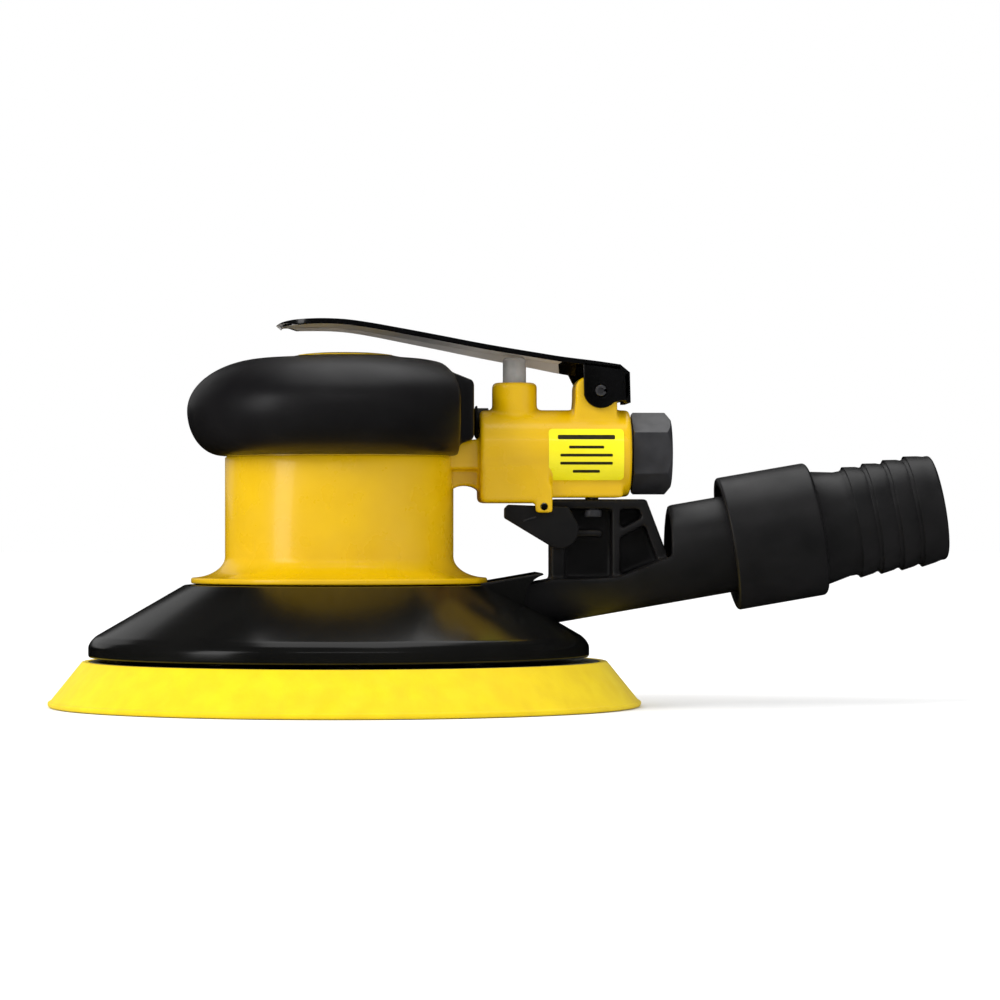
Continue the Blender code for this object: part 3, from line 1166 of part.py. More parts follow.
# ---- exhaust duct -------------------------------------------------------------------------
def build_duct():
    tube = laid_on_duct("exhaust_duct", TUBE_RADIUS, 0, TUBE_END, "black_plastic", MEDIUM)
    head_room = 60 * MM
    roof = plate(
        "duct_roof",
        [
            duct_xz(-20 * MM, -DUCT_ROOF_DROP),
            duct_xz((BRACKET_START_X - DUCT_START_X) / cos(DUCT_TILT), -DUCT_ROOF_DROP),
            (RIB_X, DUCT_FLAT_Z),
            (BRACKET_FOOT_X, BRACKET_FOOT_Z), (BRACKET_FOOT_X, head_room * 1.6),
            (DUCT_START_X - 20 * MM, head_room * 1.6),
        ],
        -20 * MM, 20 * MM,
    )
    cut(tube, roof)
    half = BRACKET_HALF_WIDTH
    low = along_duct(10 * MM).z - 4 * MM
    frame = [
        plate(
            "bracket_web",
            [
                (BRACKET_START_X, low), (BRACKET_FOOT_X, BRACKET_FOOT_Z - 4 * MM),
                (BRACKET_FOOT_X, BRACKET_FOOT_Z + 2 * MM), (BRACKET_END_X, BRACKET_TOP_Z),
                (BRACKET_START_X, BRACKET_TOP_Z),
            ],
            -WEB / 2, WEB / 2,
        ),
        block(
            "bracket_flange", (BRACKET_START_X, -half, BRACKET_TOP_Z - BRACKET_FLANGE),
            (BRACKET_END_X, half, BRACKET_TOP_Z),
        ),
        block(
            "bracket_left_wall", (BRACKET_START_X + FACE_STEP, 2 * FACE_STEP - half, low + 1 * MM),
            (BRACKET_START_X + LEFT_WALL, half - 2 * FACE_STEP, BRACKET_TOP_Z - 4 * FACE_STEP),
        ),
        block(
            "bracket_rib", (RIB_X - RIB / 2, 3 * FACE_STEP - half, DUCT_FLAT_Z - 2 * MM),
            (RIB_X + RIB / 2, half - 3 * FACE_STEP, BRACKET_TOP_Z - 6 * FACE_STEP),
        ),
        plate(
            "bracket_right_wall",
            [
                (BRACKET_END_X - RIB * 1.4, BRACKET_TOP_Z - 0.2 * MM),
                (BRACKET_FOOT_X - RIB * 1.2, BRACKET_FOOT_Z - 3 * MM),
                (BRACKET_FOOT_X + 0.6 * MM, BRACKET_FOOT_Z - 3 * MM),
                (BRACKET_END_X, BRACKET_TOP_Z - 0.2 * MM),
            ],
            FACE_STEP - half, half - FACE_STEP,
        ),
        plate(
            "bracket_strut",
            [
                (RIB_X, STRUT_ROOT_Z[0]), *STRUT_FOOT, (RIB_X, STRUT_ROOT_Z[1]),
            ],
            -half + 6 * FACE_STEP, half - 6 * FACE_STEP,
        ),
        block(
            "bracket_shelf", (REGULATOR_X, 8 * FACE_STEP - half, SHELF_Z[0]),
            (SHELF_END_X, half - 8 * FACE_STEP, SHELF_Z[1]),
        ),
        rod(
            "regulator_boss", REGULATOR_SHAFT_RADIUS + SHAFT_BOSS_WALL,
        (REGULATOR_X, -half + 1 * MM, REGULATOR_Z),
            (REGULATOR_X, half - 1 * MM, REGULATOR_Z), None, SMALL,
        ),
    ]
    join(tube, *frame)
    entry = rod("duct_entry", 1.0, (0, 0, 0), (0, 0, 1), None, SMALL)
    stretch = Matrix.Diagonal((PASSAGE_HEIGHT / 2, PASSAGE_HALF_WIDTH, 1, 1))
    first, last = -OVERCUT, (BRACKET_FOOT_X - DUCT_START_X) / cos(DUCT_TILT) + 3 * MM
    drop = -TUBE_RADIUS + TUBE_WALL + PASSAGE_HEIGHT / 2
    entry.data.transform(Matrix.Diagonal((1, 1, last - first, 1)) @ stretch)
    lay_along(entry, DUCT_AXIS, along_duct(first, drop))
    bore = laid_on_duct("duct_bore", TUBE_RADIUS - TUBE_WALL, last - 4 * MM, TUBE_END + OVERCUT)
    shaft_hole = rod(
        "regulator_shaft_hole", REGULATOR_SHAFT_RADIUS + FIT, (REGULATOR_X, -half - OVERCUT, REGULATOR_Z),
        (REGULATOR_X, 2 * MM, REGULATOR_Z), None, SMALL,
    )
    cut(tube, entry, bore, shaft_hole)
    groove_middle = COLLAR_START + ORING_PLACE
    for name, middle, width, depth in (
        ("oring_groove", groove_middle, ORING_GROOVE_WIDTH, 1.0 * MM),
        ("clip_groove_tube", COLLAR_START + COLLAR_MOUTH_DEPTH - 1 * MM, CLIP_THICKNESS + FIT, CLIP_REACH),
    ):
        ring = washer(
            name, TUBE_RADIUS - depth, TUBE_RADIUS + OVERCUT, -width / 2, width / 2, None, MEDIUM
        )
        cut(tube, lay_along(ring, DUCT_AXIS, along_duct(middle)))
    for index, side in enumerate((-1, 1)):
        hole = rod(
            f"flange_screw_hole_{index + 1}", SCREW_RADIUS + FIT,
            (SCREW_X, side * SCREW_Y, BRACKET_TOP_Z - 6 * MM),
            (SCREW_X, side * SCREW_Y, BRACKET_TOP_Z + OVERCUT), None, TINY,
        )
        cut(tube, hole)
        build_duct_screw(index + 1, side * SCREW_Y)
    seal = torus("swivel_seal", TUBE_RADIUS - ORING_WIRE + FIT / 2, ORING_WIRE, "nitrile")
    lay_along(seal, DUCT_AXIS, along_duct(groove_middle))
    clip_middle = COLLAR_START + COLLAR_MOUTH_DEPTH - 1 * MM
    clip = clip_ring(
        "swivel_clip", TUBE_RADIUS - CLIP_REACH + FIT, COLLAR_MOUTH_RADIUS - CLIP_REACH,
        -CLIP_THICKNESS / 2, CLIP_THICKNESS / 2, "blackened_steel",
    )
    lay_along(clip, DUCT_AXIS, along_duct(clip_middle))
    lay_along(bpy.data.objects["swivel_clip_gap"], DUCT_AXIS, along_duct(clip_middle))


def build_duct_screw(number, side):
    flange_under = BRACKET_TOP_Z - BRACKET_FLANGE - FIT
    screw = rod(
        f"duct_screw_{number}", SCREW_HEAD_RADIUS, (SCREW_X, side, flange_under - SCREW_HEAD),
        (SCREW_X, side, flange_under), "blackened_steel", TINY,
    )
    shank = rod(
        f"duct_screw_shank_{number}", SCREW_RADIUS, (SCREW_X, side, flange_under - BITE),
        (SCREW_X, side, BRACKET_TOP_Z + SCREW_LENGTH - FIT - 1 * MM), None, TINY,
    )
    join(screw, shank)


def build_hose_fitting(axis):
    profile = [
        (COLLAR_MOUTH_RADIUS, COLLAR_START), (COLLAR_OUTER_RADIUS, COLLAR_START),
        (COLLAR_OUTER_RADIUS, COLLAR_END), (NECK_RADIUS + COLLAR_SHOULDER, COLLAR_END + 1 * MM),
        (NECK_RADIUS, COLLAR_END + NECK_TAPER),
    ]
    for index in range(BARBS):
        crest = FIRST_BARB + index * BARB_PITCH
        profile += [(NECK_RADIUS, crest - BARB_BACK), (BARB_RADIUS, crest)]
    profile += [
        (NECK_RADIUS, FIRST_BARB + BARBS * BARB_PITCH - BARB_BACK),
        (NECK_RADIUS, TAIL_END - TAIL_CHAMFER), (NECK_RADIUS - TAIL_CHAMFER, TAIL_END),
        (TAIL_BORE_RADIUS, TAIL_END), (TAIL_BORE_RADIUS, TUBE_END + 2 * MM),
        (TUBE_RADIUS + FIT, TUBE_END + 1 * MM), (TUBE_RADIUS + FIT, COLLAR_START + COLLAR_MOUTH_DEPTH),
        (COLLAR_MOUTH_RADIUS, COLLAR_START + COLLAR_MOUTH_DEPTH),
    ]
    turned("hose_fitting", profile, "black_plastic", MEDIUM, True, axis)


# ---- speed regulator ----------------------------------------------------------------------
def build_regulator(axis):
    """The regulator's lever and its shaft, about the shaft's axis."""
    face = -BRACKET_HALF_WIDTH - FIT
    tip_x = REGULATOR_TIP_X - REGULATOR_X
    tip_top, tip_bottom = REGULATOR_TIP_TOP_Z - REGULATOR_Z, REGULATOR_TIP_BOTTOM_Z - REGULATOR_Z
    outline = [
        (tip_x, tip_bottom), *arc((0, 0), (REGULATOR_HUB_RADIUS, REGULATOR_HUB_RADIUS), 240, 390, 8),
        (REGULATOR_HUB_RADIUS - 1.6 * MM, tip_top - 1 * MM), (tip_x + 1 * MM, tip_top),
        (tip_x, tip_top - 1 * MM),
    ]
    lever = plate("regulator_lever", outline, face - REGULATOR_PLATE, face, "black_plastic", axis)
    shaft = rod(
        "regulator_shaft", REGULATOR_SHAFT_RADIUS, (0, face - BITE, 0), (0, 1.4 * MM, 0), None, SMALL, axis
    )
    join(lever, shaft)


def main():
    for obj in list(bpy.data.objects):
        bpy.data.objects.remove(obj)
    rotor_axis = axis_empty("rotor_axis", (0, 0, 0))
    orbit_axis = axis_empty("orbit_axis", ORBIT, parent=rotor_axis)
    pad_axis = axis_empty("pad_axis", (0, 0, 0), parent=orbit_axis)
    lever_axis = axis_empty("lever_axis", (PIVOT_X, 0, PIVOT_Z))
    stem_axis = axis_empty("stem_axis", (STEM_X, 0, BOSS_TOP_Z))
    tilt_axis = axis_empty("tilt_axis", (TILT_DISC_X, 0, VALVE_Z + TILT_DISC_RADIUS))
    regulator_axis = axis_empty("regulator_axis", (REGULATOR_X, 0, REGULATOR_Z))
    hose_axis = axis_empty("hose_axis", along_duct(0), DUCT_AXIS)
    build_pad(pad_axis)
    build_spindle(pad_axis)
    build_balancer(rotor_axis)
    build_rotor(rotor_axis)
    ball_bearing("spindle_bearing", SPINDLE_BEARING, SPINDLE_BEARING_Z, (pad_axis, orbit_axis, orbit_axis))
    ball_bearing("front_bearing", FRONT_BEARING, FRONT_BEARING_Z, (rotor_axis, None, rotor_axis))
    ball_bearing("rear_bearing", REAR_BEARING, REAR_BEARING_Z, (rotor_axis, None, rotor_axis))
    build_motor_stack()
    build_housing()
    build_grip()
    build_valve()
    build_bushing()
    build_stem(stem_axis)
    build_tilt_valve(tilt_axis)
    build_lever(lever_axis)
    build_shroud()
    build_duct()
    build_hose_fitting(hose_axis)
    build_regulator(regulator_axis)


main()
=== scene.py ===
"""The finished look of a pneumatic random-orbital sander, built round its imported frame.

Every length is in metres, in the frame's own axes: the origin is where the motor axis meets the
sanded surface, +Z runs up the motor axis, and +X runs towards the dust-hose tail.
"""

import json
from math import asin, cos, degrees, pi, radians, sin, sqrt

import bmesh
import bpy
from mathutils import Matrix, Vector


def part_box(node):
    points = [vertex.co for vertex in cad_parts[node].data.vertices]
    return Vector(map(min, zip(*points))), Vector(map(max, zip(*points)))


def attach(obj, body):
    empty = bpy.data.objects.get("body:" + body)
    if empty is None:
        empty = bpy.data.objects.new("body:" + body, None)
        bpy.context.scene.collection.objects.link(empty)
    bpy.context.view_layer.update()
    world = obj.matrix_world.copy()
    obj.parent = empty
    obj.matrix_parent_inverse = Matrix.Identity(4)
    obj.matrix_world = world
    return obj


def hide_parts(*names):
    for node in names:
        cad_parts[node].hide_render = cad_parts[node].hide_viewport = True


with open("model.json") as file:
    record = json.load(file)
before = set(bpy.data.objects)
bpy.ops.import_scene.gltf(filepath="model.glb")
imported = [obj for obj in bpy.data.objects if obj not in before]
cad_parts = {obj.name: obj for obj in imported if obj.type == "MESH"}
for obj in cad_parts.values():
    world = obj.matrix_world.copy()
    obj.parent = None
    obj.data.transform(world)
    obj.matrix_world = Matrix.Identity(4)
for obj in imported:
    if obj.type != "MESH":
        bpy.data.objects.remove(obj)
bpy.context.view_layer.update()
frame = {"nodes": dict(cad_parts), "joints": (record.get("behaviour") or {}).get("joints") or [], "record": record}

MM = 0.001
UP = Vector((0, 0, 1))
ACROSS = Vector((0, 1, 0))
FULL_TURN = 2 * pi
JOIN_DISTANCE = 1e-6
SHARP_ANGLE = radians(38)


# ---- places and sizes, read from the frame ------------------------------------------------
def middle(node):
    low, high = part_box(node)
    return (low + high) / 2


PAD_LOW, PAD_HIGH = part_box("pad_foam")
PAD_CENTRE = Vector((*middle("pad_foam").xy, 0))
PAD_RADIUS = (PAD_HIGH.y - PAD_LOW.y) / 2
PLATE_LOW, PLATE_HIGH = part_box("pad_backplate")
PLATE_RADIUS = (PLATE_HIGH.y - PLATE_LOW.y) / 2
HOOK_LOW, HOOK_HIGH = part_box("pad_hook_face")
HOOK_RADIUS = (HOOK_HIGH.y - HOOK_LOW.y) / 2
SHROUD_LOW, SHROUD_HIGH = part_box("dust_shroud")
SHROUD_RADIUS = SHROUD_HIGH.y
HOUSING_LOW, HOUSING_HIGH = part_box("motor_housing")
FLANGE_RADIUS = HOUSING_HIGH.y
GRIP_LOW, GRIP_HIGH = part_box("grip_cover")
GRIP_RADIUS = GRIP_HIGH.y
BADGE_LOW, BADGE_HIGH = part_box("badge")
STEM_LOW, STEM_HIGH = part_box("valve_stem")
STEM_AXIS = middle("valve_stem")
HEX_HIGH_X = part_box("inlet_bushing")[1].x
INLET_Z = middle("inlet_bushing").z
PIVOT = middle("lever_pin")
LEVER_LOW, LEVER_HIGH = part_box("throttle_lever")
PLUG_LOW, PLUG_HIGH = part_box("bore_plug")
STOP_PIN = middle("regulator_stop_pin")
JOINTS = {joint["name"]: joint for joint in frame["joints"]}
DUCT_AXIS = Vector(JOINTS["hose_swivel"]["axis"])
DUCT_START = Vector(JOINTS["hose_swivel"]["pos_m"])
REGULATOR = Vector(JOINTS["regulator_turn"]["pos_m"])

# ---- sizes of the finished surfaces -------------------------------------------------------
ROUND_STEPS = 160
SMALL_STEPS = 64
CAST_VOXEL = 0.42 * MM
RUBBER_VOXEL = 0.6 * MM
HOUSING_RADIUS = 28.87 * MM
HOUSING_BORE = 23.3 * MM
BORE_TOP_Z = 80.0 * MM
CROWN_ROUND = 4.0 * MM
FLANGE_LIP = 1.5 * MM
FLANGE_RISE = 5.3 * MM
SEAM_Z = GRIP_LOW.z
VALVE_RADIUS = 11.0 * MM
VALVE_START_X = 35.2 * MM
VALVE_END_X = 73.5 * MM
BLOCK_END_X = 53.0 * MM
BLOCK_BOTTOM_Z = 51.4 * MM
BLOCK_HALF = 10.6 * MM
BOSS_RADIUS = 5.7 * MM
BOSS_TOP_Z = 81.9 * MM
SHEET = 1.2 * MM
TUBE_RADIUS = 12.25 * MM
TUBE_WALL = 2.0 * MM
TUBE_END = 76.5 * MM
DUST_HOLE_RADIUS = 5.0 * MM
DUST_CIRCLE = 40.0 * MM
DUST_HOLES = 6


# ---- materials ----------------------------------------------------------------------------
def linear(hex_colour):
    """The linear colour of an sRGB hex value."""
    channels = [int(hex_colour[i : i + 2], 16) / 255 for i in (0, 2, 4)]
    return [c / 12.92 if c <= 0.04045 else ((c + 0.055) / 1.055) ** 2.4 for c in channels] + [1.0]


def per_metre(size_mm):
    """The texture scale whose features are this many millimetres across."""
    return 1000 / size_mm


def add_node(tree, kind, settings, links):
    """Adds a node: settings go to its sockets or its own options, links come from (node, output)."""
    node = tree.nodes.new(kind)
    for name, value in settings.items():
        if name in node.inputs:
            node.inputs[name].default_value = value
        else:
            setattr(node, name, value)
    for name, (source, output) in links.items():
        tree.links.new(source.outputs[output], node.inputs[name])
    return node


def start_finish(name, **sockets):
    """A new material, its node tree, its shader and its Object coordinates."""
    material = bpy.data.materials.new(name)
    material.use_nodes = True
    tree = material.node_tree
    shader = tree.nodes["Principled BSDF"]
    for socket, value in sockets.items():
        shader.inputs[socket.replace("_", " ")].default_value = value
    place = add_node(tree, "ShaderNodeTexCoord", {}, {})
    return material, tree, shader, place


def mottle(tree, shader, place, size_mm, low, high, detail=3.0):
    """Lets the colour drift between two sRGB values, over patches of this size."""
    noise = add_node(
        tree, "ShaderNodeTexNoise", {"Scale": per_metre(size_mm), "Detail": detail},
        {"Vector": (place, "Object")},
    )
    ramp = add_node(tree, "ShaderNodeValToRGB", {}, {"Fac": (noise, "Fac")})
    for element, (position, colour) in zip(ramp.color_ramp.elements, ((0.32, low), (0.68, high))):
        element.position = position
        element.color = linear(colour)
    tree.links.new(ramp.outputs["Color"], shader.inputs["Base Color"])


def grain(tree, shader, place, size_mm, height_mm, strength):
    """Raises the surface in grains of this size and height."""
    noise = add_node(
        tree, "ShaderNodeTexNoise", {"Scale": per_metre(size_mm), "Detail": 2.0},
        {"Vector": (place, "Object")},
    )
    bump = add_node(
        tree, "ShaderNodeBump", {"Strength": strength, "Distance": height_mm * MM},
        {"Height": (noise, "Fac")},
    )
    tree.links.new(bump.outputs["Normal"], shader.inputs["Normal"])


def uneven_gloss(tree, shader, place, size_mm, low, high):
    """Lets the roughness drift between two values, as handling and moulding leave it."""
    noise = add_node(
        tree, "ShaderNodeTexNoise", {"Scale": per_metre(size_mm), "Detail": 4.0},
        {"Vector": (place, "Object")},
    )
    spread = add_node(
        tree, "ShaderNodeMapRange", {"From Min": 0.3, "From Max": 0.7, "To Min": low, "To Max": high},
        {"Value": (noise, "Fac")},
    )
    tree.links.new(spread.outputs["Result"], shader.inputs["Roughness"])


def finish(name, colours, gloss, relief, **sockets):
    """A material with these constants on its shader.

    colours is (mm across, low, high, detail), gloss is (mm across, low, high) and relief is
    (mm across, mm high, strength).
    """
    material, tree, shader, place = start_finish(name, **sockets)
    mottle(tree, shader, place, *colours)
    uneven_gloss(tree, shader, place, *gloss)
    grain(tree, shader, place, *relief)
    return material


# Stoved gloss enamel over a die casting: deep yellow under a clear, faintly rippled skin.
ENAMEL = finish(
    "gloss_enamel_on_cast_aluminium", (14.0, "CBA100", "D2A800"), (9.0, 0.24, 0.34), (2.6, 0.012, 0.6),
    IOR=1.5, Coat_Weight=0.25, Coat_Roughness=0.05,
)
# Soft moulded rubber: near-black satin with a fine dry grain that breaks the highlights.
RUBBER = finish(
    "moulded_grip_rubber", (18.0, "0E0D0F", "161516"), (11.0, 0.36, 0.46), (0.5, 0.02, 0.5),
    IOR=1.45,
)
# Glass-filled nylon from a polished mould: glossy black with faint flow marks.
POLISHED_NYLON = finish(
    "polished_black_nylon", (25.0, "0A0A0A", "121211"), (16.0, 0.16, 0.22), (7.0, 0.012, 0.2),
    IOR=1.46,
)
# Glass-filled nylon from a spark-eroded mould: charcoal, satin, with an even fine texture.
SATIN_NYLON = finish(
    "spark_textured_black_nylon", (12.0, "121213", "1A191A"), (8.0, 0.38, 0.48), (0.45, 0.018, 0.6),
    IOR=1.53,
)
# Black gloss enamel on pressed sheet steel: hard, wet-looking highlights along each bend.
BLACK_ENAMEL = finish(
    "black_gloss_enamel_on_steel", (12.0, "060606", "0C0C0D"), (10.0, 0.14, 0.22), (2.2, 0.01, 0.5),
    IOR=1.5, Coat_Weight=0.6, Coat_Roughness=0.04,
)
# Painted reflection of the white floor: pale grey on the lever's underside and inner faces, which reads as mid
# grey in the lever's shade.
FLOOR_REFLECTION_GREY = finish(
    "painted_floor_reflection_on_steel", (9.0, "C6C2BE", "D2CEC9"), (6.0, 0.42, 0.55), (0.6, 0.012, 0.5),
    IOR=1.5,
)


def pad_polyurethane():
    # Skinned polyurethane foam: bright yellow and soft. Its pores are drawn 0.8 mm apart, coarser
    # than they are, so that they show.
    material, tree, shader, place = start_finish(
        "yellow_polyurethane_foam", IOR=1.36, Sheen_Weight=0.04, Sheen_Roughness=0.5
    )
    mottle(tree, shader, place, 6.0, "D4B600", "DCC100")
    uneven_gloss(tree, shader, place, 5.0, 0.55, 0.7)
    pores = add_node(
        tree, "ShaderNodeTexVoronoi", {"Scale": per_metre(0.8)}, {"Vector": (place, "Object")}
    )
    pits = add_node(
        tree, "ShaderNodeMapRange", {"From Min": 0.0, "From Max": 0.35}, {"Value": (pores, "Distance")}
    )
    bump = add_node(
        tree, "ShaderNodeBump", {"Strength": 0.35, "Distance": 0.05 * MM}, {"Height": (pits, "Result")}
    )
    tree.links.new(bump.outputs["Normal"], shader.inputs["Normal"])
    return material


FOAM = pad_polyurethane()


def hook_fabric():
    # Woven hook tape: rows of tiny hooks about 1 mm apart, which read as a dull nap.
    material, tree, shader, place = start_finish(
        "woven_hook_fabric", Sheen_Weight=0.4, Sheen_Roughness=0.6, Roughness=0.95
    )
    mottle(tree, shader, place, 5.0, "8F8C80", "B5B1A3")
    hooks = add_node(
        tree, "ShaderNodeTexVoronoi", {"Scale": per_metre(1.0), "Randomness": 0.35},
        {"Vector": (place, "Object")},
    )
    bump = add_node(
        tree, "ShaderNodeBump", {"Strength": 0.9, "Distance": 0.35 * MM, "invert": True},
        {"Height": (hooks, "Distance")},
    )
    tree.links.new(bump.outputs["Normal"], shader.inputs["Normal"])
    return material


HOOKS = hook_fabric()

# Moulded glass-fibre plate: grey-green with short pale fibres showing at the surface.
FIBRE = finish(
    "glass_fibre_plate", (2.2, "3B3D38", "73766A", 6.0), (4.0, 0.28, 0.42), (0.9, 0.02, 0.5),
    IOR=1.53,
)
# Oil-blackened turned steel: a dense oxide film, near black with a greasy sheen on its flats.
BLACK_STEEL = finish(
    "oxide_black_steel", (5.0, "28282B", "323235"), (4.0, 0.34, 0.46), (0.5, 0.01, 0.5),
    IOR=1.75,
)
# Ground bearing steel: bright, with fine grinding marks about 0.3 mm apart.
STEEL = finish(
    "ground_steel", (4.0, "B2B2B0", "C2C2C0"), (3.0, 0.22, 0.34), (0.3, 0.006, 0.6),
    Metallic=1.0,
)
# Machined cast iron: mid grey, with the dull speckle of graphite.
IRON = finish(
    "machined_cast_iron", (1.2, "6A6A6D", "828285", 5.0), (2.5, 0.4, 0.56), (0.5, 0.015, 0.6),
    Metallic=1.0,
)
# Turned brass: warm, semi-bright, with faint tool marks.
BRASS = finish(
    "turned_brass", (3.0, "B48B36", "C79E4A"), (2.0, 0.24, 0.38), (0.3, 0.006, 0.6),
    Metallic=1.0,
)
# Cloth-filled phenolic: brown, with the weave of its filler about 0.6 mm apart.
PHENOLIC = finish(
    "cloth_filled_phenolic", (0.6, "5C3D22", "7A5534", 4.0), (2.0, 0.45, 0.6), (0.6, 0.02, 0.6),
    IOR=1.55,
)
# Moulded nitrile: dense black with a slight bloom.
NITRILE = finish(
    "nitrile_rubber", (3.0, "101010", "1A1A1A"), (2.0, 0.42, 0.58), (0.4, 0.01, 0.5),
    IOR=1.5,
)
# Extruded acetal rod: milky grey, letting a little light through at its edges.
ACETAL = finish(
    "translucent_grey_acetal", (3.0, "A19F9B", "B3B1AD"), (2.5, 0.12, 0.2), (1.2, 0.006, 0.4),
    IOR=1.48, Transmission_Weight=0.35, Subsurface_Weight=0.15, Subsurface_Scale=1.5 * MM,
)
# Printed vinyl under a gloss laminate: lemon yellow, greener and flatter than the enamel.
LABEL = finish(
    "gloss_vinyl_label", (8.0, "DDD10A", "E5D90F"), (6.0, 0.26, 0.36), (1.5, 0.005, 0.4),
    IOR=1.46, Coat_Weight=0.5, Coat_Roughness=0.06,
)
# Screen ink: dense black bars, slightly less glossy than the vinyl round them.
INK = finish(
    "black_screen_ink", (2.0, "1E1C08", "2A270E"), (2.0, 0.3, 0.42), (0.3, 0.004, 0.4),
    IOR=1.5,
)
# Tinted polyester band set in the badge: clean yellow under a domed gloss.
BADGE_INLAY = finish(
    "yellow_badge_inlay", (6.0, "EFC400", "F7D000"), (5.0, 0.2, 0.3), (1.5, 0.005, 0.4),
    IOR=1.5, Coat_Weight=0.6, Coat_Roughness=0.05,
)


# ---- shaping tools ------------------------------------------------------------------------
def merge(target, *others):
    """Adds other shapes to a bmesh, as shells of their own."""
    for other in others:
        scratch = bpy.data.meshes.new("scratch")
        other.to_mesh(scratch)
        other.free()
        target.from_mesh(scratch)
        bpy.data.meshes.remove(scratch)
    return target


def vertices_in(geometry):
    return [item for item in geometry if isinstance(item, bmesh.types.BMVert)]


def moved(bm, matrix):
    bmesh.ops.transform(bm, matrix=matrix, verts=bm.verts)
    return bm


def tidy(bm):
    """Joins vertices that coincide and turns every face outwards."""
    bmesh.ops.remove_doubles(bm, verts=bm.verts, dist=JOIN_DISTANCE)
    bmesh.ops.recalc_face_normals(bm, faces=bm.faces)
    return bm


def spun(profile, steps=ROUND_STEPS, ring=True):
    """Spins a profile of (radius, height) about Z; without a ring it starts and ends on the axis."""
    bm = bmesh.new()
    points = [bm.verts.new((radius, 0, height)) for radius, height in profile]
    edges = [bm.edges.new(pair) for pair in zip(points, points[1:])]
    if ring:
        edges.append(bm.edges.new((points[-1], points[0])))
    bmesh.ops.spin(
        bm, geom=points + edges, cent=(0, 0, 0), axis=UP, angle=FULL_TURN, steps=steps, use_merge=True
    )
    return tidy(bm)


def rounded(profile, radius, steps=4):
    """The profile with each of its corners taken off by short arcs of up to this radius."""
    made = []
    count = len(profile)
    for index, corner in enumerate(profile):
        here = Vector(corner)
        before, after = Vector(profile[index - 1]), Vector(profile[(index + 1) % count])
        reach = min(radius, (before - here).length * 0.45, (after - here).length * 0.45)
        first = here + (before - here).normalized() * reach
        last = here + (after - here).normalized() * reach
        for step in range(steps + 1):
            share = step / steps
            made.append(first.lerp(here, share).lerp(here.lerp(last, share), share)[:])
    return made


def arc(centre, radii, first, last, count):
    """Points of an ellipse's arc, from one angle to another in degrees."""
    for step in range(count + 1):
        angle = radians(first + (last - first) * step / count)
        yield centre[0] + radii[0] * cos(angle), centre[1] + radii[1] * sin(angle)


def soften(bm, width, segments=3, sharper_than=30):
    """Bevels every edge that turns more sharply than this many degrees."""
    edges = [edge for edge in bm.edges if degrees(edge.calc_face_angle(0.0)) > sharper_than]
    bmesh.ops.bevel(
        bm, geom=edges, offset=width, offset_type="OFFSET", segments=segments, profile=0.5,
        affect="EDGES", clamp_overlap=True, material=-1,
    )
    return bm


def prism(points, direction):
    """The solid between an outline and its copy, moved along a direction."""
    bm = bmesh.new()
    face = bm.faces.new([bm.verts.new(point) for point in points])
    grown = bmesh.ops.extrude_face_region(bm, geom=[face])["geom"]
    bmesh.ops.translate(bm, vec=direction, verts=vertices_in(grown))
    return tidy(bm)


def slab(outline, low, high, width=0.4 * MM):
    """An outline of (x, z) points, made thick along Y, with its edges rounded."""
    bm = prism([(x, low, z) for x, z in outline], (0, high - low, 0))
    return soften(bm, width) if width else bm


def brick(low, high, width=0.4 * MM, segments=3):
    """A box between two corners, with its edges rounded."""
    low, high = Vector(low), Vector(high)
    bm = bmesh.new()
    bmesh.ops.create_cube(bm, size=1.0)
    place = Matrix.Translation((low + high) / 2) @ Matrix.Diagonal((*(high - low), 1))
    moved(bm, place)
    return soften(bm, width, segments) if width else bm


def laid(bm, direction, start=(0, 0, 0)):
    """Turns a shape made about Z so that its Z runs along a direction from a start point."""
    turn = UP.rotation_difference(Vector(direction)).to_matrix().to_4x4()
    return moved(bm, Matrix.Translation(Vector(start)) @ turn)


def bar(radius, start, end, width=0.0, steps=SMALL_STEPS):
    """A round bar from one point to another, with its rims rounded by a width."""
    start, end = Vector(start), Vector(end)
    length = (end - start).length
    profile = [(0, 0), (radius, 0), (radius, length), (0, length)]
    if width:
        profile = [
            (0, 0), *arc((radius - width, width), (width, width), 270, 360, 4),
            *arc((radius - width, length - width), (width, width), 0, 90, 4), (0, length),
        ]
    return laid(spun(profile, steps, False), end - start, start)


def to_object(name, bm):
    """A linked object that holds this shape."""
    mesh = bpy.data.meshes.new(name)
    bm.to_mesh(mesh)
    bm.free()
    obj = bpy.data.objects.new(name, mesh)
    bpy.context.collection.objects.link(obj)
    return obj


def settle(obj):
    """Applies an object's modifiers and gives back its shape, without the object."""
    graph = bpy.context.evaluated_depsgraph_get()
    bm = bmesh.new()
    bm.from_object(obj, graph)
    bpy.data.objects.remove(obj)
    return bm


def combined(bm, operation, *tools):
    """Runs a Boolean of these tools on a shape."""
    obj = to_object("work", bm)
    helpers = [to_object("tool", tool) for tool in tools]
    for helper in helpers:
        step = obj.modifiers.new("step", "BOOLEAN")
        step.operation = operation
        step.solver = "EXACT"
        step.object = helper
    made = settle(obj)
    for helper in helpers:
        bpy.data.objects.remove(helper)
    return made


def cast(bm, voxel, rounds):
    """Fuses overlapping shells into one skin, with the soft inner corners of a moulding."""
    obj = to_object("work", bm)
    remesh = obj.modifiers.new("fuse", "REMESH")
    remesh.mode = "VOXEL"
    remesh.voxel_size = voxel
    ease = obj.modifiers.new("ease", "SMOOTH")
    ease.factor = 0.5
    ease.iterations = rounds
    return settle(obj)


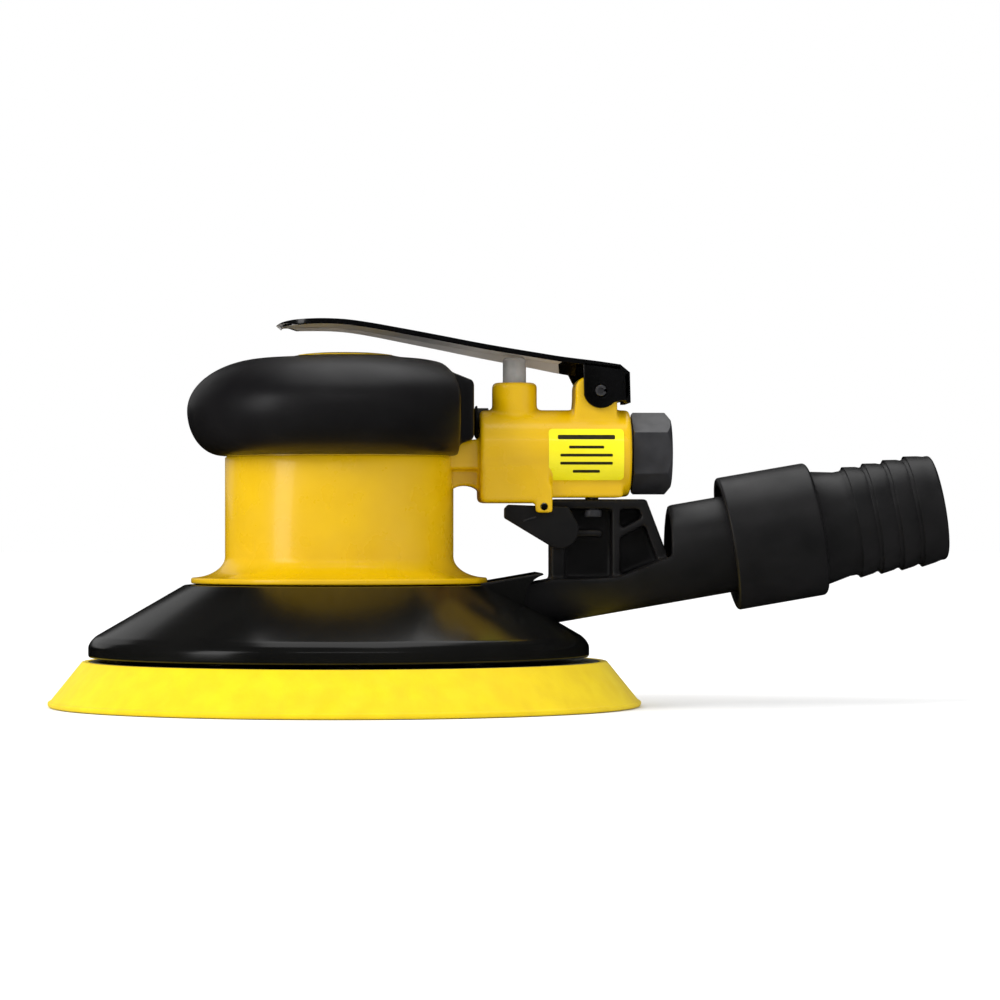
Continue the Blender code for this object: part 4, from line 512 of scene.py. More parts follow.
def piece(name, bm, material, body, slot, *nodes):
    """Makes a shape a finished piece of the tool, in place of these CAD nodes."""
    tidy(bm)
    obj = to_object(name, bm)
    obj.data.shade_smooth()
    obj.data.set_sharp_from_angle(angle=SHARP_ANGLE)
    obj.data.materials.append(material)
    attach(obj, body)
    if nodes:
        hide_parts(*nodes)
    return obj


# ---- sanding pad --------------------------------------------------------------------------
def dust_hole_tools(bottom, top):
    for index in range(DUST_HOLES):
        angle = FULL_TURN * (index + 0.5) / DUST_HOLES
        place = PAD_CENTRE + Vector((DUST_CIRCLE * cos(angle), DUST_CIRCLE * sin(angle), 0))
        yield bar(DUST_HOLE_RADIUS, place + UP * bottom, place + UP * top)


def moved_to_pad(bm):
    return moved(bm, Matrix.Translation(PAD_CENTRE))


def build_foam():
    lip = 1.4 * MM
    top_radius = 66.3 * MM
    recess = PLATE_LOW.z - 0.3 * MM
    hook_room = HOOK_RADIUS + 0.3 * MM
    profile = rounded(
        [
            (hook_room, HOOK_HIGH.z + 0.3 * MM), (hook_room, PAD_LOW.z),
            (PAD_RADIUS - 0.35 * MM, PAD_LOW.z), (PAD_RADIUS, lip / 2), (PAD_RADIUS - 0.1 * MM, lip),
            (PAD_RADIUS - 0.75 * MM, lip + 0.25 * MM), (top_radius, PAD_HIGH.z),
            (PLATE_RADIUS + 0.3 * MM, PAD_HIGH.z), (PLATE_RADIUS + 0.3 * MM, recess),
        ],
        0.3 * MM,
    )
    bm = spun([(0, HOOK_HIGH.z + 0.3 * MM), *profile, (0, recess)], ring=False)
    bm = combined(moved_to_pad(bm), "DIFFERENCE", *dust_hole_tools(-5 * MM, 20 * MM))
    foam = piece("pad_cushion", bm, FOAM, "pad", "yellow_foam", "pad_foam")


def build_hook_face():
    edge = 0.25 * MM
    profile = [
        (0, HOOK_LOW.z), *arc((HOOK_RADIUS - edge, HOOK_LOW.z + edge), (edge, edge), 270, 360, 4),
        (HOOK_RADIUS, HOOK_HIGH.z), (0, HOOK_HIGH.z),
    ]
    disc = moved_to_pad(spun(profile, ring=False))
    bm = combined(disc, "DIFFERENCE", *dust_hole_tools(-5 * MM, 5 * MM))
    piece("hook_disc", bm, HOOKS, "pad", "hook_fabric", "pad_hook_face")


def build_backplate():
    hub = 10.3 * MM
    dish_start, dish_end, dish_depth = 27 * MM, 26 * MM, 0.5 * MM
    rib_width, rib_height = 1.6 * MM, 0.7 * MM
    top = PLATE_HIGH.z
    profile = rounded(
        [
            (hub, PLATE_LOW.z), (PLATE_RADIUS, PLATE_LOW.z), (PLATE_RADIUS, top),
            (PLATE_RADIUS - 2.6 * MM, top), (PLATE_RADIUS - 3.2 * MM, top - dish_depth),
            (dish_start, top - dish_depth), (dish_end, top), (hub, top),
        ],
        0.25 * MM,
    )
    ribs = []
    for index in range(DUST_HOLES * 2):
        rib = brick(
            (dish_end, -rib_width / 2, PLATE_LOW.z + 0.6 * MM),
            (PLATE_RADIUS - 3 * MM, rib_width / 2, PLATE_LOW.z + 0.8 * MM + rib_height), 0.2 * MM, 2,
        )
        turn = Matrix.Rotation(FULL_TURN * index / (DUST_HOLES * 2), 4, "Z")
        ribs.append(moved(rib, turn))
    bm = combined(spun(profile), "UNION", *ribs)
    bm = combined(moved_to_pad(bm), "DIFFERENCE", *dust_hole_tools(5 * MM, 16 * MM))
    piece("pad_plate", bm, FIBRE, "pad", "backplate_grey", "pad_backplate")


# ---- shroud -------------------------------------------------------------------------------
def up_duct():
    return Vector((-DUCT_AXIS.z, 0, DUCT_AXIS.x))


def on_duct(distance, rise=0.0):
    """The place this far along the tube's axis and this far above it."""
    return DUCT_START + DUCT_AXIS * distance + up_duct() * rise


def hood_outline(radius, roof):
    """A circle's outline with a flat roof, round the tube's axis."""
    turn = degrees(asin(roof / radius))
    return list(arc((0, 0), (radius, radius), -180 - turn, turn, 40))


def duct_prism(outline, first, last):
    """A solid of this outline (sideways, up) along the tube's axis."""
    start = on_duct(first)
    ring = [start + ACROSS * side + up_duct() * rise for side, rise in outline]
    return prism(ring, DUCT_AXIS * (last - first))


def build_shroud():
    rim, top = SHROUD_LOW.z, 30.8 * MM
    shoulder = rim + 2.8 * MM
    wall = 2.0 * MM
    cone_foot = (61.3 * MM, 17.9 * MM)
    top_radius = 39.0 * MM
    hole = 24.2 * MM
    outer = [
        (SHROUD_RADIUS - 0.3 * MM, rim), (SHROUD_RADIUS, rim + 0.5 * MM), (SHROUD_RADIUS, shoulder),
        (SHROUD_RADIUS - 0.7 * MM, shoulder + 1.3 * MM), cone_foot, (top_radius, top),
    ]
    inner = [
        (hole, top), (hole, top - wall), (top_radius - 0.8 * MM, top - wall),
        (cone_foot[0] - 2.6 * MM, cone_foot[1] - 1.0 * MM), (SHROUD_RADIUS - 2.6 * MM, shoulder),
        (SHROUD_RADIUS - 2.6 * MM, rim),
    ]
    shell = spun(rounded(outer + inner, 0.5 * MM))
    port_wall, fit, roof_drop = 1.9 * MM, 0.3 * MM, 1.0 * MM
    port_radius = TUBE_RADIUS + fit + port_wall
    mouth = (51.0 * MM - DUCT_START.x) / DUCT_AXIS.x
    hood = duct_prism(hood_outline(port_radius, fit + port_wall - roof_drop), -19 * MM, mouth)
    soften(hood, 0.5 * MM, 3)
    bore = duct_prism(hood_outline(TUBE_RADIUS + fit, fit - roof_drop), -26 * MM, 30 * MM)
    mouth_z, roof = rim - 5 * MM, top - wall - 0.1 * MM
    cavity_profile = [
        (0, mouth_z), (SHROUD_RADIUS - 2.7 * MM, mouth_z), (SHROUD_RADIUS - 2.7 * MM, shoulder),
        (cone_foot[0] - 2.7 * MM, cone_foot[1] - 1.1 * MM), (top_radius - 0.9 * MM, roof), (0, roof),
    ]
    cavity = spun(cavity_profile, ring=False)
    flange_room = bar(FLANGE_RADIUS + 0.6 * MM, (0, 0, top), (0, 0, top + 15 * MM), steps=ROUND_STEPS)
    notch_x, notch_z, notch_radius, beside = 52.6 * MM, 27.2 * MM, 6.4 * MM, 30 * MM
    notch = bar(notch_radius, (notch_x, -beside, notch_z), (notch_x, beside, notch_z))
    hood = combined(hood, "DIFFERENCE", cavity, flange_room, notch)
    shell = combined(combined(shell, "UNION", hood), "DIFFERENCE", bore)
    piece("shroud_moulding", shell, POLISHED_NYLON, "housing", "black_moulding", "dust_shroud")


# ---- motor housing and valve casting ------------------------------------------------------
def build_housing_shell():
    base = HOUSING_LOW.z
    lip = base + FLANGE_LIP
    neck = HOUSING_RADIUS - 0.4 * MM
    seam = SEAM_Z - 0.3 * MM
    reach = FLANGE_RADIUS - HOUSING_RADIUS
    fillet = list(arc((FLANGE_RADIUS, lip + FLANGE_RISE), (reach, FLANGE_RISE), 270, 180, 20))
    edge = 0.5 * MM
    flange = [
        (HOUSING_BORE, base), *arc((FLANGE_RADIUS - edge, base + edge), (edge, edge), 270, 360, 4),
        *arc((FLANGE_RADIUS - edge, lip - edge), (edge, edge), 0, 70, 4), *fillet[3:],
    ]
    top = HOUSING_HIGH.z
    upper = [
        (HOUSING_RADIUS, seam - 0.3 * MM), (HOUSING_RADIUS - 0.2 * MM, seam), (neck, seam),
        *arc((neck - CROWN_ROUND, top - CROWN_ROUND), (CROWN_ROUND, CROWN_ROUND), 0, 90, 8),
    ]
    profile = [(0, BORE_TOP_Z), (HOUSING_BORE, BORE_TOP_Z), *flange, *upper, (0, top)]
    bm = spun(profile, ring=False)
    piece("motor_casing", bm, ENAMEL, "housing", "yellow_enamel", "motor_housing")


def build_valve_casting():
    axis_z = INLET_Z
    reach_in = HOUSING_RADIUS - 3 * MM
    barrel = bar(VALVE_RADIUS, (VALVE_START_X, 0, axis_z), (VALVE_END_X, 0, axis_z), 0.9 * MM)
    block = brick(
        (VALVE_START_X, -BLOCK_HALF, BLOCK_BOTTOM_Z), (BLOCK_END_X, BLOCK_HALF, axis_z + 0.6 * MM),
        1.2 * MM,
    )
    saddle_half = 8 * MM
    saddle = brick(
        (BLOCK_END_X - 3 * MM, -saddle_half, 52.8 * MM), (VALVE_END_X - 2 * MM, saddle_half, axis_z),
        0.6 * MM,
    )
    bridge_half, bridge_end = 7.5 * MM, VALVE_START_X + 3 * MM
    bridge = brick(
        (reach_in, -bridge_half, 59.8 * MM), (bridge_end, bridge_half, 67.4 * MM), 0.8 * MM
    )
    web_half, web_top, arch_x, arch_z = 5.0 * MM, 60.5 * MM, 31.6 * MM, 52.4 * MM
    web_outline = [
        *arc((arch_x, arch_z), (4.6 * MM, 3.4 * MM), 180, 0, 12), (bridge_end, web_top),
        (reach_in, web_top), (reach_in, arch_z),
    ]
    web = slab(web_outline, -web_half, web_half, 0.0)
    boss = bar(BOSS_RADIUS, (STEM_AXIS.x, 0, axis_z), (STEM_AXIS.x, 0, BOSS_TOP_Z), 0.9 * MM)
    lug_left, lug_right = 59.4 * MM, 70.0 * MM
    lug_top, lug_half, lug_round = PIVOT.z + 3.6 * MM, 7.5 * MM, 3 * MM
    lug = slab(
        [
            (lug_left - 1.2 * MM, axis_z), (lug_right, axis_z), (lug_right, PIVOT.z),
            *arc((lug_right - lug_round, lug_top - lug_round), (lug_round, lug_round), 0, 90, 5),
            *arc((lug_left + lug_round, lug_top - lug_round), (lug_round, lug_round), 90, 180, 5),
            (lug_left, PIVOT.z - 2 * MM),
        ],
        -lug_half, lug_half,
    )
    tab = brick((49.1 * MM, -BLOCK_HALF, 48.9 * MM), (53.4 * MM, 2.1 * MM - BLOCK_HALF, 56 * MM), 0.4 * MM)
    fused = cast(merge(barrel, block, saddle, bridge, web, boss, lug, tab), CAST_VOXEL, 12)
    stem_hole = bar(4.5 * MM, (STEM_AXIS.x, 0, 72 * MM), (STEM_AXIS.x, 0, BOSS_TOP_Z + 5 * MM))
    inlet = bar(7.5 * MM, (VALVE_END_X - 13 * MM, 0, axis_z), (VALVE_END_X + 5 * MM, 0, axis_z))
    pin_hole = bar(1.7 * MM, (PIVOT.x, -12 * MM, PIVOT.z), (PIVOT.x, 12 * MM, PIVOT.z))
    stop_hole = bar(0.96 * MM, STOP_PIN - ACROSS * 5 * MM, STOP_PIN + ACROSS * 5 * MM)
    fused = combined(fused, "DIFFERENCE", stem_hole, inlet, pin_hole, stop_hole)
    piece("valve_casting", fused, ENAMEL, "housing", "yellow_enamel", "motor_housing")


# ---- grip and badge -----------------------------------------------------------------------
def build_grip():
    waist = 74.7 * MM
    lower_centre, upper_centre = 29.5 * MM, 17.4 * MM
    upper_rise = GRIP_HIGH.z - waist + 0.15 * MM
    skin = list(arc((lower_centre, waist), (GRIP_RADIUS - lower_centre, waist - SEAM_Z), -90, 0, 20))
    skin += list(arc((upper_centre, waist), (GRIP_RADIUS - upper_centre, upper_rise), 0, 90, 24))[1:]
    body = spun([(0, SEAM_Z), *skin, (0, waist + upper_rise)], ring=False)
    lobe_end, fold, fold_height = 29.8 * MM, 10.4 * MM, 10.4 * MM * 1.15
    far, below, lobe_top = 60 * MM, 50 * MM, 89.2 * MM
    keep = slab(
        [
            (-far, below), (lobe_end, below),
            *arc((lobe_end - fold, lobe_top - fold_height), (fold, fold_height), 0, 90, 12),
            (-far, lobe_top),
        ],
        -far, far, 0.0,
    )
    body = combined(body, "INTERSECT", keep)
    tail_end = GRIP_HIGH.x
    tail = slab(
        [
            (8 * MM, SEAM_Z), (21.7 * MM, SEAM_Z), (tail_end, 67.4 * MM), (tail_end, 82.0 * MM),
            (25.3 * MM, 85.3 * MM), (18.5 * MM, 87.6 * MM), (8 * MM, 87.6 * MM),
        ],
        -13 * MM, 13 * MM, 0.5 * MM,
    )
    grip = cast(merge(body, tail), RUBBER_VOXEL, 4)
    neck = 28.8 * MM
    roof = HOUSING_HIGH.z + 0.3 * MM
    room = spun(
        [
            (0, below), (neck, below),
            *arc((neck - CROWN_ROUND, roof - CROWN_ROUND), (CROWN_ROUND, CROWN_ROUND), 0, 90, 8),
            (0, roof),
        ],
        ring=False,
    )
    opening = badge_oval(0.3 * MM, roof - 4 * MM, roof + 15 * MM)
    room_half = 7.8 * MM
    bridge_room = brick((20 * MM, -room_half, below), (50 * MM, room_half, 67.7 * MM), 0.0)
    grip = combined(grip, "DIFFERENCE", room, opening, bridge_room)
    piece("grip_moulding", grip, RUBBER, "housing", "black_rubber", "grip_cover")


def badge_oval(growth, bottom, top):
    """The badge's oval, grown by a margin, as a tall solid."""
    centre = middle("badge")
    half = (BADGE_HIGH - BADGE_LOW) / 2
    bm = spun([(0, bottom), (1, bottom), (1, top), (0, top)], ring=False)
    size = Matrix.Diagonal((half.x + growth, half.y + growth, 1, 1))
    place = Matrix.Translation((centre.x, centre.y, 0))
    return moved(bm, place @ size)


def build_badge():
    """A domed oval face with a plain raised band round its crown."""
    centre = middle("badge")
    half = (BADGE_HIGH - BADGE_LOW) / 2
    base, crown = BADGE_LOW.z, BADGE_HIGH.z
    rise = 2.4 * MM
    place = Matrix.Translation((centre.x, centre.y, 0)) @ Matrix.Diagonal((half.x, half.y, 1, 1))
    eaves = crown - rise
    dome = [(0, base), (1, base), (1, eaves), *arc((0, eaves), (1, rise), 6, 84, 24), (0, crown)]
    face = spun(dome, ring=False)
    piece("badge_dome", moved(face, place), SATIN_NYLON, "housing", "badge_black", "badge")
    band_height = 0.12 * MM
    inner, outer = 0.42, 0.72
    level = [(share, eaves + rise * sqrt(1 - share * share)) for share in (inner, 0.52, 0.62, outer)]
    band = [(share, z - 0.3 * MM) for share, z in level]
    band += [(share, z + band_height) for share, z in level[::-1]]
    ring = spun(rounded(band, 0.004))
    piece("badge_band", moved(ring, place), BADGE_INLAY, "housing", "badge_black")


# ---- throttle lever -----------------------------------------------------------------------
LEVER_LINE = [
    (-15.9, 96.2), (-14.5, 96.75), (-12.0, 97.2), (-8.0, 97.45), (-3.0, 97.5), (2.2, 97.2), (8.2, 96.35),
    (13.6, 95.4), (25.0, 93.35), (36.4, 91.3), (49.4, 89.25), (56.2, 88.2), (64.3, 87.2), (70.6, 86.3),
]


def lever_line():
    """The lever's upper edge at even steps, rounded through the points that set its sweep."""
    points = [Vector((x * MM, 0, z * MM)) for x, z in LEVER_LINE]
    ends = [points[0] * 2 - points[1], *points, points[-1] * 2 - points[-2]]
    for index in range(1, len(ends) - 2):
        before, here, after, later = ends[index - 1 : index + 3]
        for step in range(6):
            t = step / 6
            yield 0.5 * (
                2 * here + (after - before) * t + (2 * before - 5 * here + 4 * after - later) * t * t
                + (3 * here - before - 3 * after + later) * t**3
            )
    yield points[-1]


def lever_half_width(x):
    """Half the lever's width: a round thumb end, a straight palm and a taper to the ears."""
    palm, ears = 13.6 * MM, 9.0 * MM
    nose_end, taper_start, taper_end = -3.5 * MM, 14 * MM, 54 * MM
    if x < nose_end:
        share = min(1.0, (nose_end - x) / (nose_end - LEVER_LOW.x))
        return max(palm * sqrt(1 - share**2.3), 0.9 * MM)
    share = min(1.0, max(0.0, (x - taper_start) / (taper_end - taper_start)))
    return palm + (ears - palm) * share * share * (3 - 2 * share)


def flange_depth(x, side):
    """How far a side of the pressing turns down; the far side is the deeper one."""
    start = LEVER_LOW.x
    grown = min(1.0, (x - start) / (5 * MM))
    near, far = 1.3 * MM, 1.9 * MM + 1.7 * MM * ((x - start) / (72 * MM)) ** 2
    return max(0.15 * MM, (far if side > 0 else near) * grown)


def drawn_out(bm, edges):
    """Extrudes these edges in place and gives back the new vertices."""
    return vertices_in(bmesh.ops.extrude_edge_only(bm, edges=edges)["geom"])


def build_lever():
    bm = bmesh.new()
    line = [bm.verts.new(point) for point in lever_line()]
    far_row = drawn_out(bm, [bm.edges.new(pair) for pair in zip(line, line[1:])])
    for vert in line:
        vert.co.y = -lever_half_width(vert.co.x)
    for vert in far_row:
        vert.co.y = lever_half_width(vert.co.x)
    for side in (-1, 1):
        rim = [e for e in bm.edges if e.is_boundary and all(v.co.y * side > 0.5 * MM for v in e.verts)]
        for vert in drawn_out(bm, rim):
            vert.co.z -= flange_depth(vert.co.x, side)
    rear_x = max(vert.co.x for vert in bm.verts)
    rear = [
        e for e in bm.edges
        if e.is_boundary and all(v.co.x > rear_x - 0.01 * MM and v.co.z > 86 * MM for v in e.verts)
    ]
    shoulder = drawn_out(bm, rear)
    bmesh.ops.translate(bm, vec=(LEVER_HIGH.x - rear_x - 0.3 * MM, 0, -2.0 * MM), verts=shoulder)
    lower = [e for e in bm.edges if e.is_boundary and all(v in shoulder for v in e.verts)]
    foot = drawn_out(bm, lower)
    bmesh.ops.translate(bm, vec=(0.2 * MM, 0, LEVER_LOW.z + 1.4 * MM - shoulder[0].co.z), verts=foot)
    tidy(bm)
    if sum(face.normal.z * face.calc_area() for face in bm.faces) < 0:
        bmesh.ops.reverse_faces(bm, faces=bm.faces)
    obj = to_object("work", bm)
    obj.data.materials.append(BLACK_ENAMEL)
    thick = obj.modifiers.new("thickness", "SOLIDIFY")
    thick.thickness = SHEET
    thick.offset = -1
    thick.use_even_offset = True
    edge = obj.modifiers.new("edge", "BEVEL")
    edge.width = 0.38 * MM
    edge.segments = 3
    edge.angle_limit = radians(40)
    pressing = settle(obj)
    for side in (-1, 1):
        merge(pressing, lever_ear(side))
    lever = piece("lever_pressing", pressing, BLACK_ENAMEL, "lever", "black_enamel", "throttle_lever")
    # Downward and inner faces ahead of the ears take the pale grey: a painted reflection of the white floor, not a
    # coat the lever has.
    lever.data.materials.append(FLOOR_REFLECTION_GREY)
    for face in lever.data.polygons:
        inside = abs(face.center.y) < lever_half_width(face.center.x) - 0.8 * SHEET
        below = face.center.x < 56 * MM and (face.normal.z < -0.6 or (inside and abs(face.normal.y) > 0.6))
        face.material_index = 1 if below and inside else 0


def lever_ear(side):
    """One side plate of the lever, with its pin hole."""
    inner, outer = 7.8 * MM, 9.0 * MM
    radius = 4.45 * MM
    low, high = sorted((side * inner, side * outer))
    lean = 3.2 * MM if side > 0 else 0.0
    rear = LEVER_HIGH.x - 0.35 * MM
    outline = [
        *arc((PIVOT.x, PIVOT.z), (radius, radius), 195, 318, 16),
        (rear - 0.9 * MM, PIVOT.z - 2.4 * MM), (rear, PIVOT.z - 1.3 * MM),
        (rear, 84.2 * MM), (rear - 2.3 * MM, 86.1 * MM), (PIVOT.x - radius - lean, 86.9 * MM),
        (PIVOT.x - radius - lean, PIVOT.z + 5.5 * MM),
    ]
    hole = bar(1.6 * MM, (PIVOT.x, low - 5 * MM, PIVOT.z), (PIVOT.x, high + 5 * MM, PIVOT.z))
    return combined(slab(outline, low, high, 0.3 * MM), "DIFFERENCE", hole)


def build_lever_pin():
    """A slotted roll pin."""
    outer, inner, reach = 1.4 * MM, 0.75 * MM, 9.2 * MM
    slot = radians(34)
    bm = bmesh.new()
    edge = 0.15 * MM
    outline = [
        (inner, -reach), (outer - edge, -reach), (outer, edge - reach), (outer, reach - edge),
        (outer - edge, reach), (inner, reach),
    ]
    face = bm.faces.new([bm.verts.new((radius, 0, z)) for radius, z in outline])
    region = [face, *face.edges, *face.verts]
    bmesh.ops.spin(
        bm, geom=region, cent=(0, 0, 0), axis=UP, angle=FULL_TURN - slot, steps=48, use_duplicate=False
    )
    moved(bm, Matrix.Rotation(radians(20), 4, "Z"))
    core = bar(inner + 0.05 * MM, (0, 0, 0.6 * MM - reach), (0, 0, reach - 0.6 * MM))
    merge(bm, core)
    laid(bm, -ACROSS, PIVOT)
    piece("lever_roll_pin", bm, BLACK_STEEL, "housing", "blackened_steel", "lever_pin")


# ---- valve pieces -------------------------------------------------------------------------
def build_stem():
    radius = (STEM_HIGH.y - STEM_LOW.y) / 2
    dome = 0.9 * MM
    bm = spun(
        [
            (0, STEM_LOW.z), (1.1 * MM, STEM_LOW.z), (radius, STEM_LOW.z + 1.0 * MM),
            *arc((radius - dome, STEM_HIGH.z - dome), (dome, dome), 0, 78, 8), (0, STEM_HIGH.z),
        ],
        SMALL_STEPS, False,
    )
    moved(bm, Matrix.Translation((STEM_AXIS.x, 0, 0)))
    piece("throttle_button_rod", bm, ACETAL, "stem", "grey_acetal", "valve_stem")


def build_bushing():
    """A hexagonal bushing with chamfered corners and a threaded bore."""
    flats = 9.0 * MM
    corner = flats / cos(radians(30))
    start_x, end_x = 74.0 * MM, HEX_HIGH_X
    length = end_x - start_x
    hexagon = bmesh.new()
    bmesh.ops.create_cone(
        hexagon, cap_ends=True, segments=6, radius1=corner, radius2=corner, depth=length,
        matrix=Matrix.Translation((0, 0, length / 2)) @ Matrix.Rotation(radians(30), 4, "Z"),
    )
    chamfer = 0.9 * MM
    envelope = spun(
        [
            (0, 0), (corner - 0.5 * MM, 0), (corner + 0.1 * MM, 0.5 * MM),
            (corner + 0.1 * MM, length - 1.7 * chamfer), (flats - 0.35 * MM, length), (0, length),
        ],
        ring=False,
    )
    head = combined(hexagon, "INTERSECT", envelope)
    soften(head, 0.16 * MM, 2, 35)
    shank = bar(7.2 * MM, (0, 0, -13 * MM), (0, 0, 0.5 * MM))
    crest, root, pitch = 5.7 * MM, 6.35 * MM, 1.41 * MM
    mouth, past = root + 0.5 * MM, length + 2 * MM
    threads = [(0, past), (mouth, past), (mouth, length - 0.2 * MM)]
    for index in range(10):
        level = length - 0.9 * MM - index * pitch
        threads += [(crest, level), (root, level - pitch / 2)]
    threads += [(crest, level - pitch), (crest, -11.5 * MM), (0, -11.5 * MM)]
    bore = spun(threads, SMALL_STEPS, False)
    made = combined(combined(head, "UNION", shank), "DIFFERENCE", bore)
    laid(made, (1, 0, 0), (start_x, 0, INLET_Z))
    piece("hex_bushing", made, BLACK_STEEL, "housing", "blackened_steel", "inlet_bushing")


def build_small_fittings():
    plug_radius = (PLUG_HIGH.y - PLUG_LOW.y) / 2
    plug_z = (PLUG_HIGH.z + PLUG_LOW.z) / 2
    dome = [
        (0, 0), (3.6 * MM, 0), (3.6 * MM, 2.8 * MM), (plug_radius, 2.8 * MM),
        *arc((0, 3.0 * MM), (plug_radius, 0.9 * MM), 10, 80, 8), (0, 3.9 * MM),
    ]
    plug = laid(spun(dome, SMALL_STEPS, False), (-1, 0, 0), (PLUG_HIGH.x, 0, plug_z))
    piece("blanking_plug", plug, NITRILE, "housing", "nitrile", "bore_plug")
    low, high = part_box("regulator_stop_pin")
    radius = (high.z - low.z) / 2
    pin = bar(radius, (STOP_PIN.x, low.y, STOP_PIN.z), (STOP_PIN.x, high.y, STOP_PIN.z), 0.2 * MM)
    piece("stop_pin", pin, STEEL, "housing", "bright_steel", "regulator_stop_pin")
    for number in (1, 2):
        build_duct_screw(number)


def build_duct_screw(number):
    """A socket-head screw, seen from below its flange."""
    node = f"duct_screw_{number}"
    low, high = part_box(node)
    place = middle(node)
    head_radius, head = (high.x - low.x) / 2, 1.8 * MM
    cap = bar(head_radius, (place.x, place.y, low.z), (place.x, place.y, low.z + head), 0.25 * MM)
    shank = bar(1.4 * MM, (place.x, place.y, low.z + head / 2), (place.x, place.y, high.z), 0.15 * MM)
    socket = bmesh.new()
    bmesh.ops.create_cone(
        socket, cap_ends=True, segments=6, radius1=1.25 * MM, radius2=1.25 * MM, depth=2 * MM,
        matrix=Matrix.Translation((place.x, place.y, low.z)),
    )
    made = combined(combined(cap, "UNION", shank), "DIFFERENCE", socket)
    piece(f"flange_screw_{number}", made, BLACK_STEEL, "housing", "blackened_steel", node)


def wrapped(low, high, round_by, thickness, skin):
    """A rounded patch of sheet on the valve barrel, between two (x, z) corners seen from -Y."""
    bm = bmesh.new()
    corners = [(low[0], low[1]), (high[0], low[1]), (high[0], high[1]), (low[0], high[1])]
    face = bm.faces.new([bm.verts.new((x, 0, z)) for x, z in corners])
    bmesh.ops.bevel(
        bm, geom=list(face.verts), offset=round_by, segments=5, profile=0.5, affect="VERTICES", material=-1
    )
    strips = 26
    for index in range(1, strips):
        level = low[1] + (high[1] - low[1]) * index / strips
        region = [*bm.verts, *bm.edges, *bm.faces]
        bmesh.ops.bisect_plane(bm, geom=region, plane_co=(0, 0, level), plane_no=UP)
    radius = VALVE_RADIUS + skin
    for vert in bm.verts:
        angle = asin(max(-1, min(1, (vert.co.z - INLET_Z) / VALVE_RADIUS)))
        vert.co.y, vert.co.z = -radius * cos(angle), INLET_Z + radius * sin(angle)
    bmesh.ops.recalc_face_normals(bm, faces=bm.faces)
    if bm.faces[:][0].normal.y > 0:
        bmesh.ops.reverse_faces(bm, faces=bm.faces)
    bmesh.ops.solidify(bm, geom=bm.faces[:], thickness=thickness)
    return bm


LABEL_BARS = (
    # height, half length and thickness, in millimetres
    (67.9, 7.2, 1.1), (65.4, 4.4, 0.7), (63.4, 6.6, 0.7), (61.4, 6.6, 0.7), (59.4, 3.4, 0.7),
)


def build_label():
    """A plain lemon label with blank bars in place of any wording."""
    left, right, bottom, top = 52.4 * MM, 71.4 * MM, 57.2 * MM, 70.0 * MM
    label = wrapped((left, bottom), (right, top), 1.0 * MM, 0.08 * MM, 0.1 * MM)
    piece("valve_label", label, LABEL, "housing", "yellow_enamel")
    centre = (left + right) / 2
    bars = bmesh.new()
    for level, half, thick in LABEL_BARS:
        low = (centre - half * MM, (level - thick / 2) * MM)
        high = (centre + half * MM, (level + thick / 2) * MM)
        merge(bars, wrapped(low, high, thick * 0.3 * MM, 0.05 * MM, 0.13 * MM))
    piece("label_bars", bars, INK, "housing", "black_moulding")


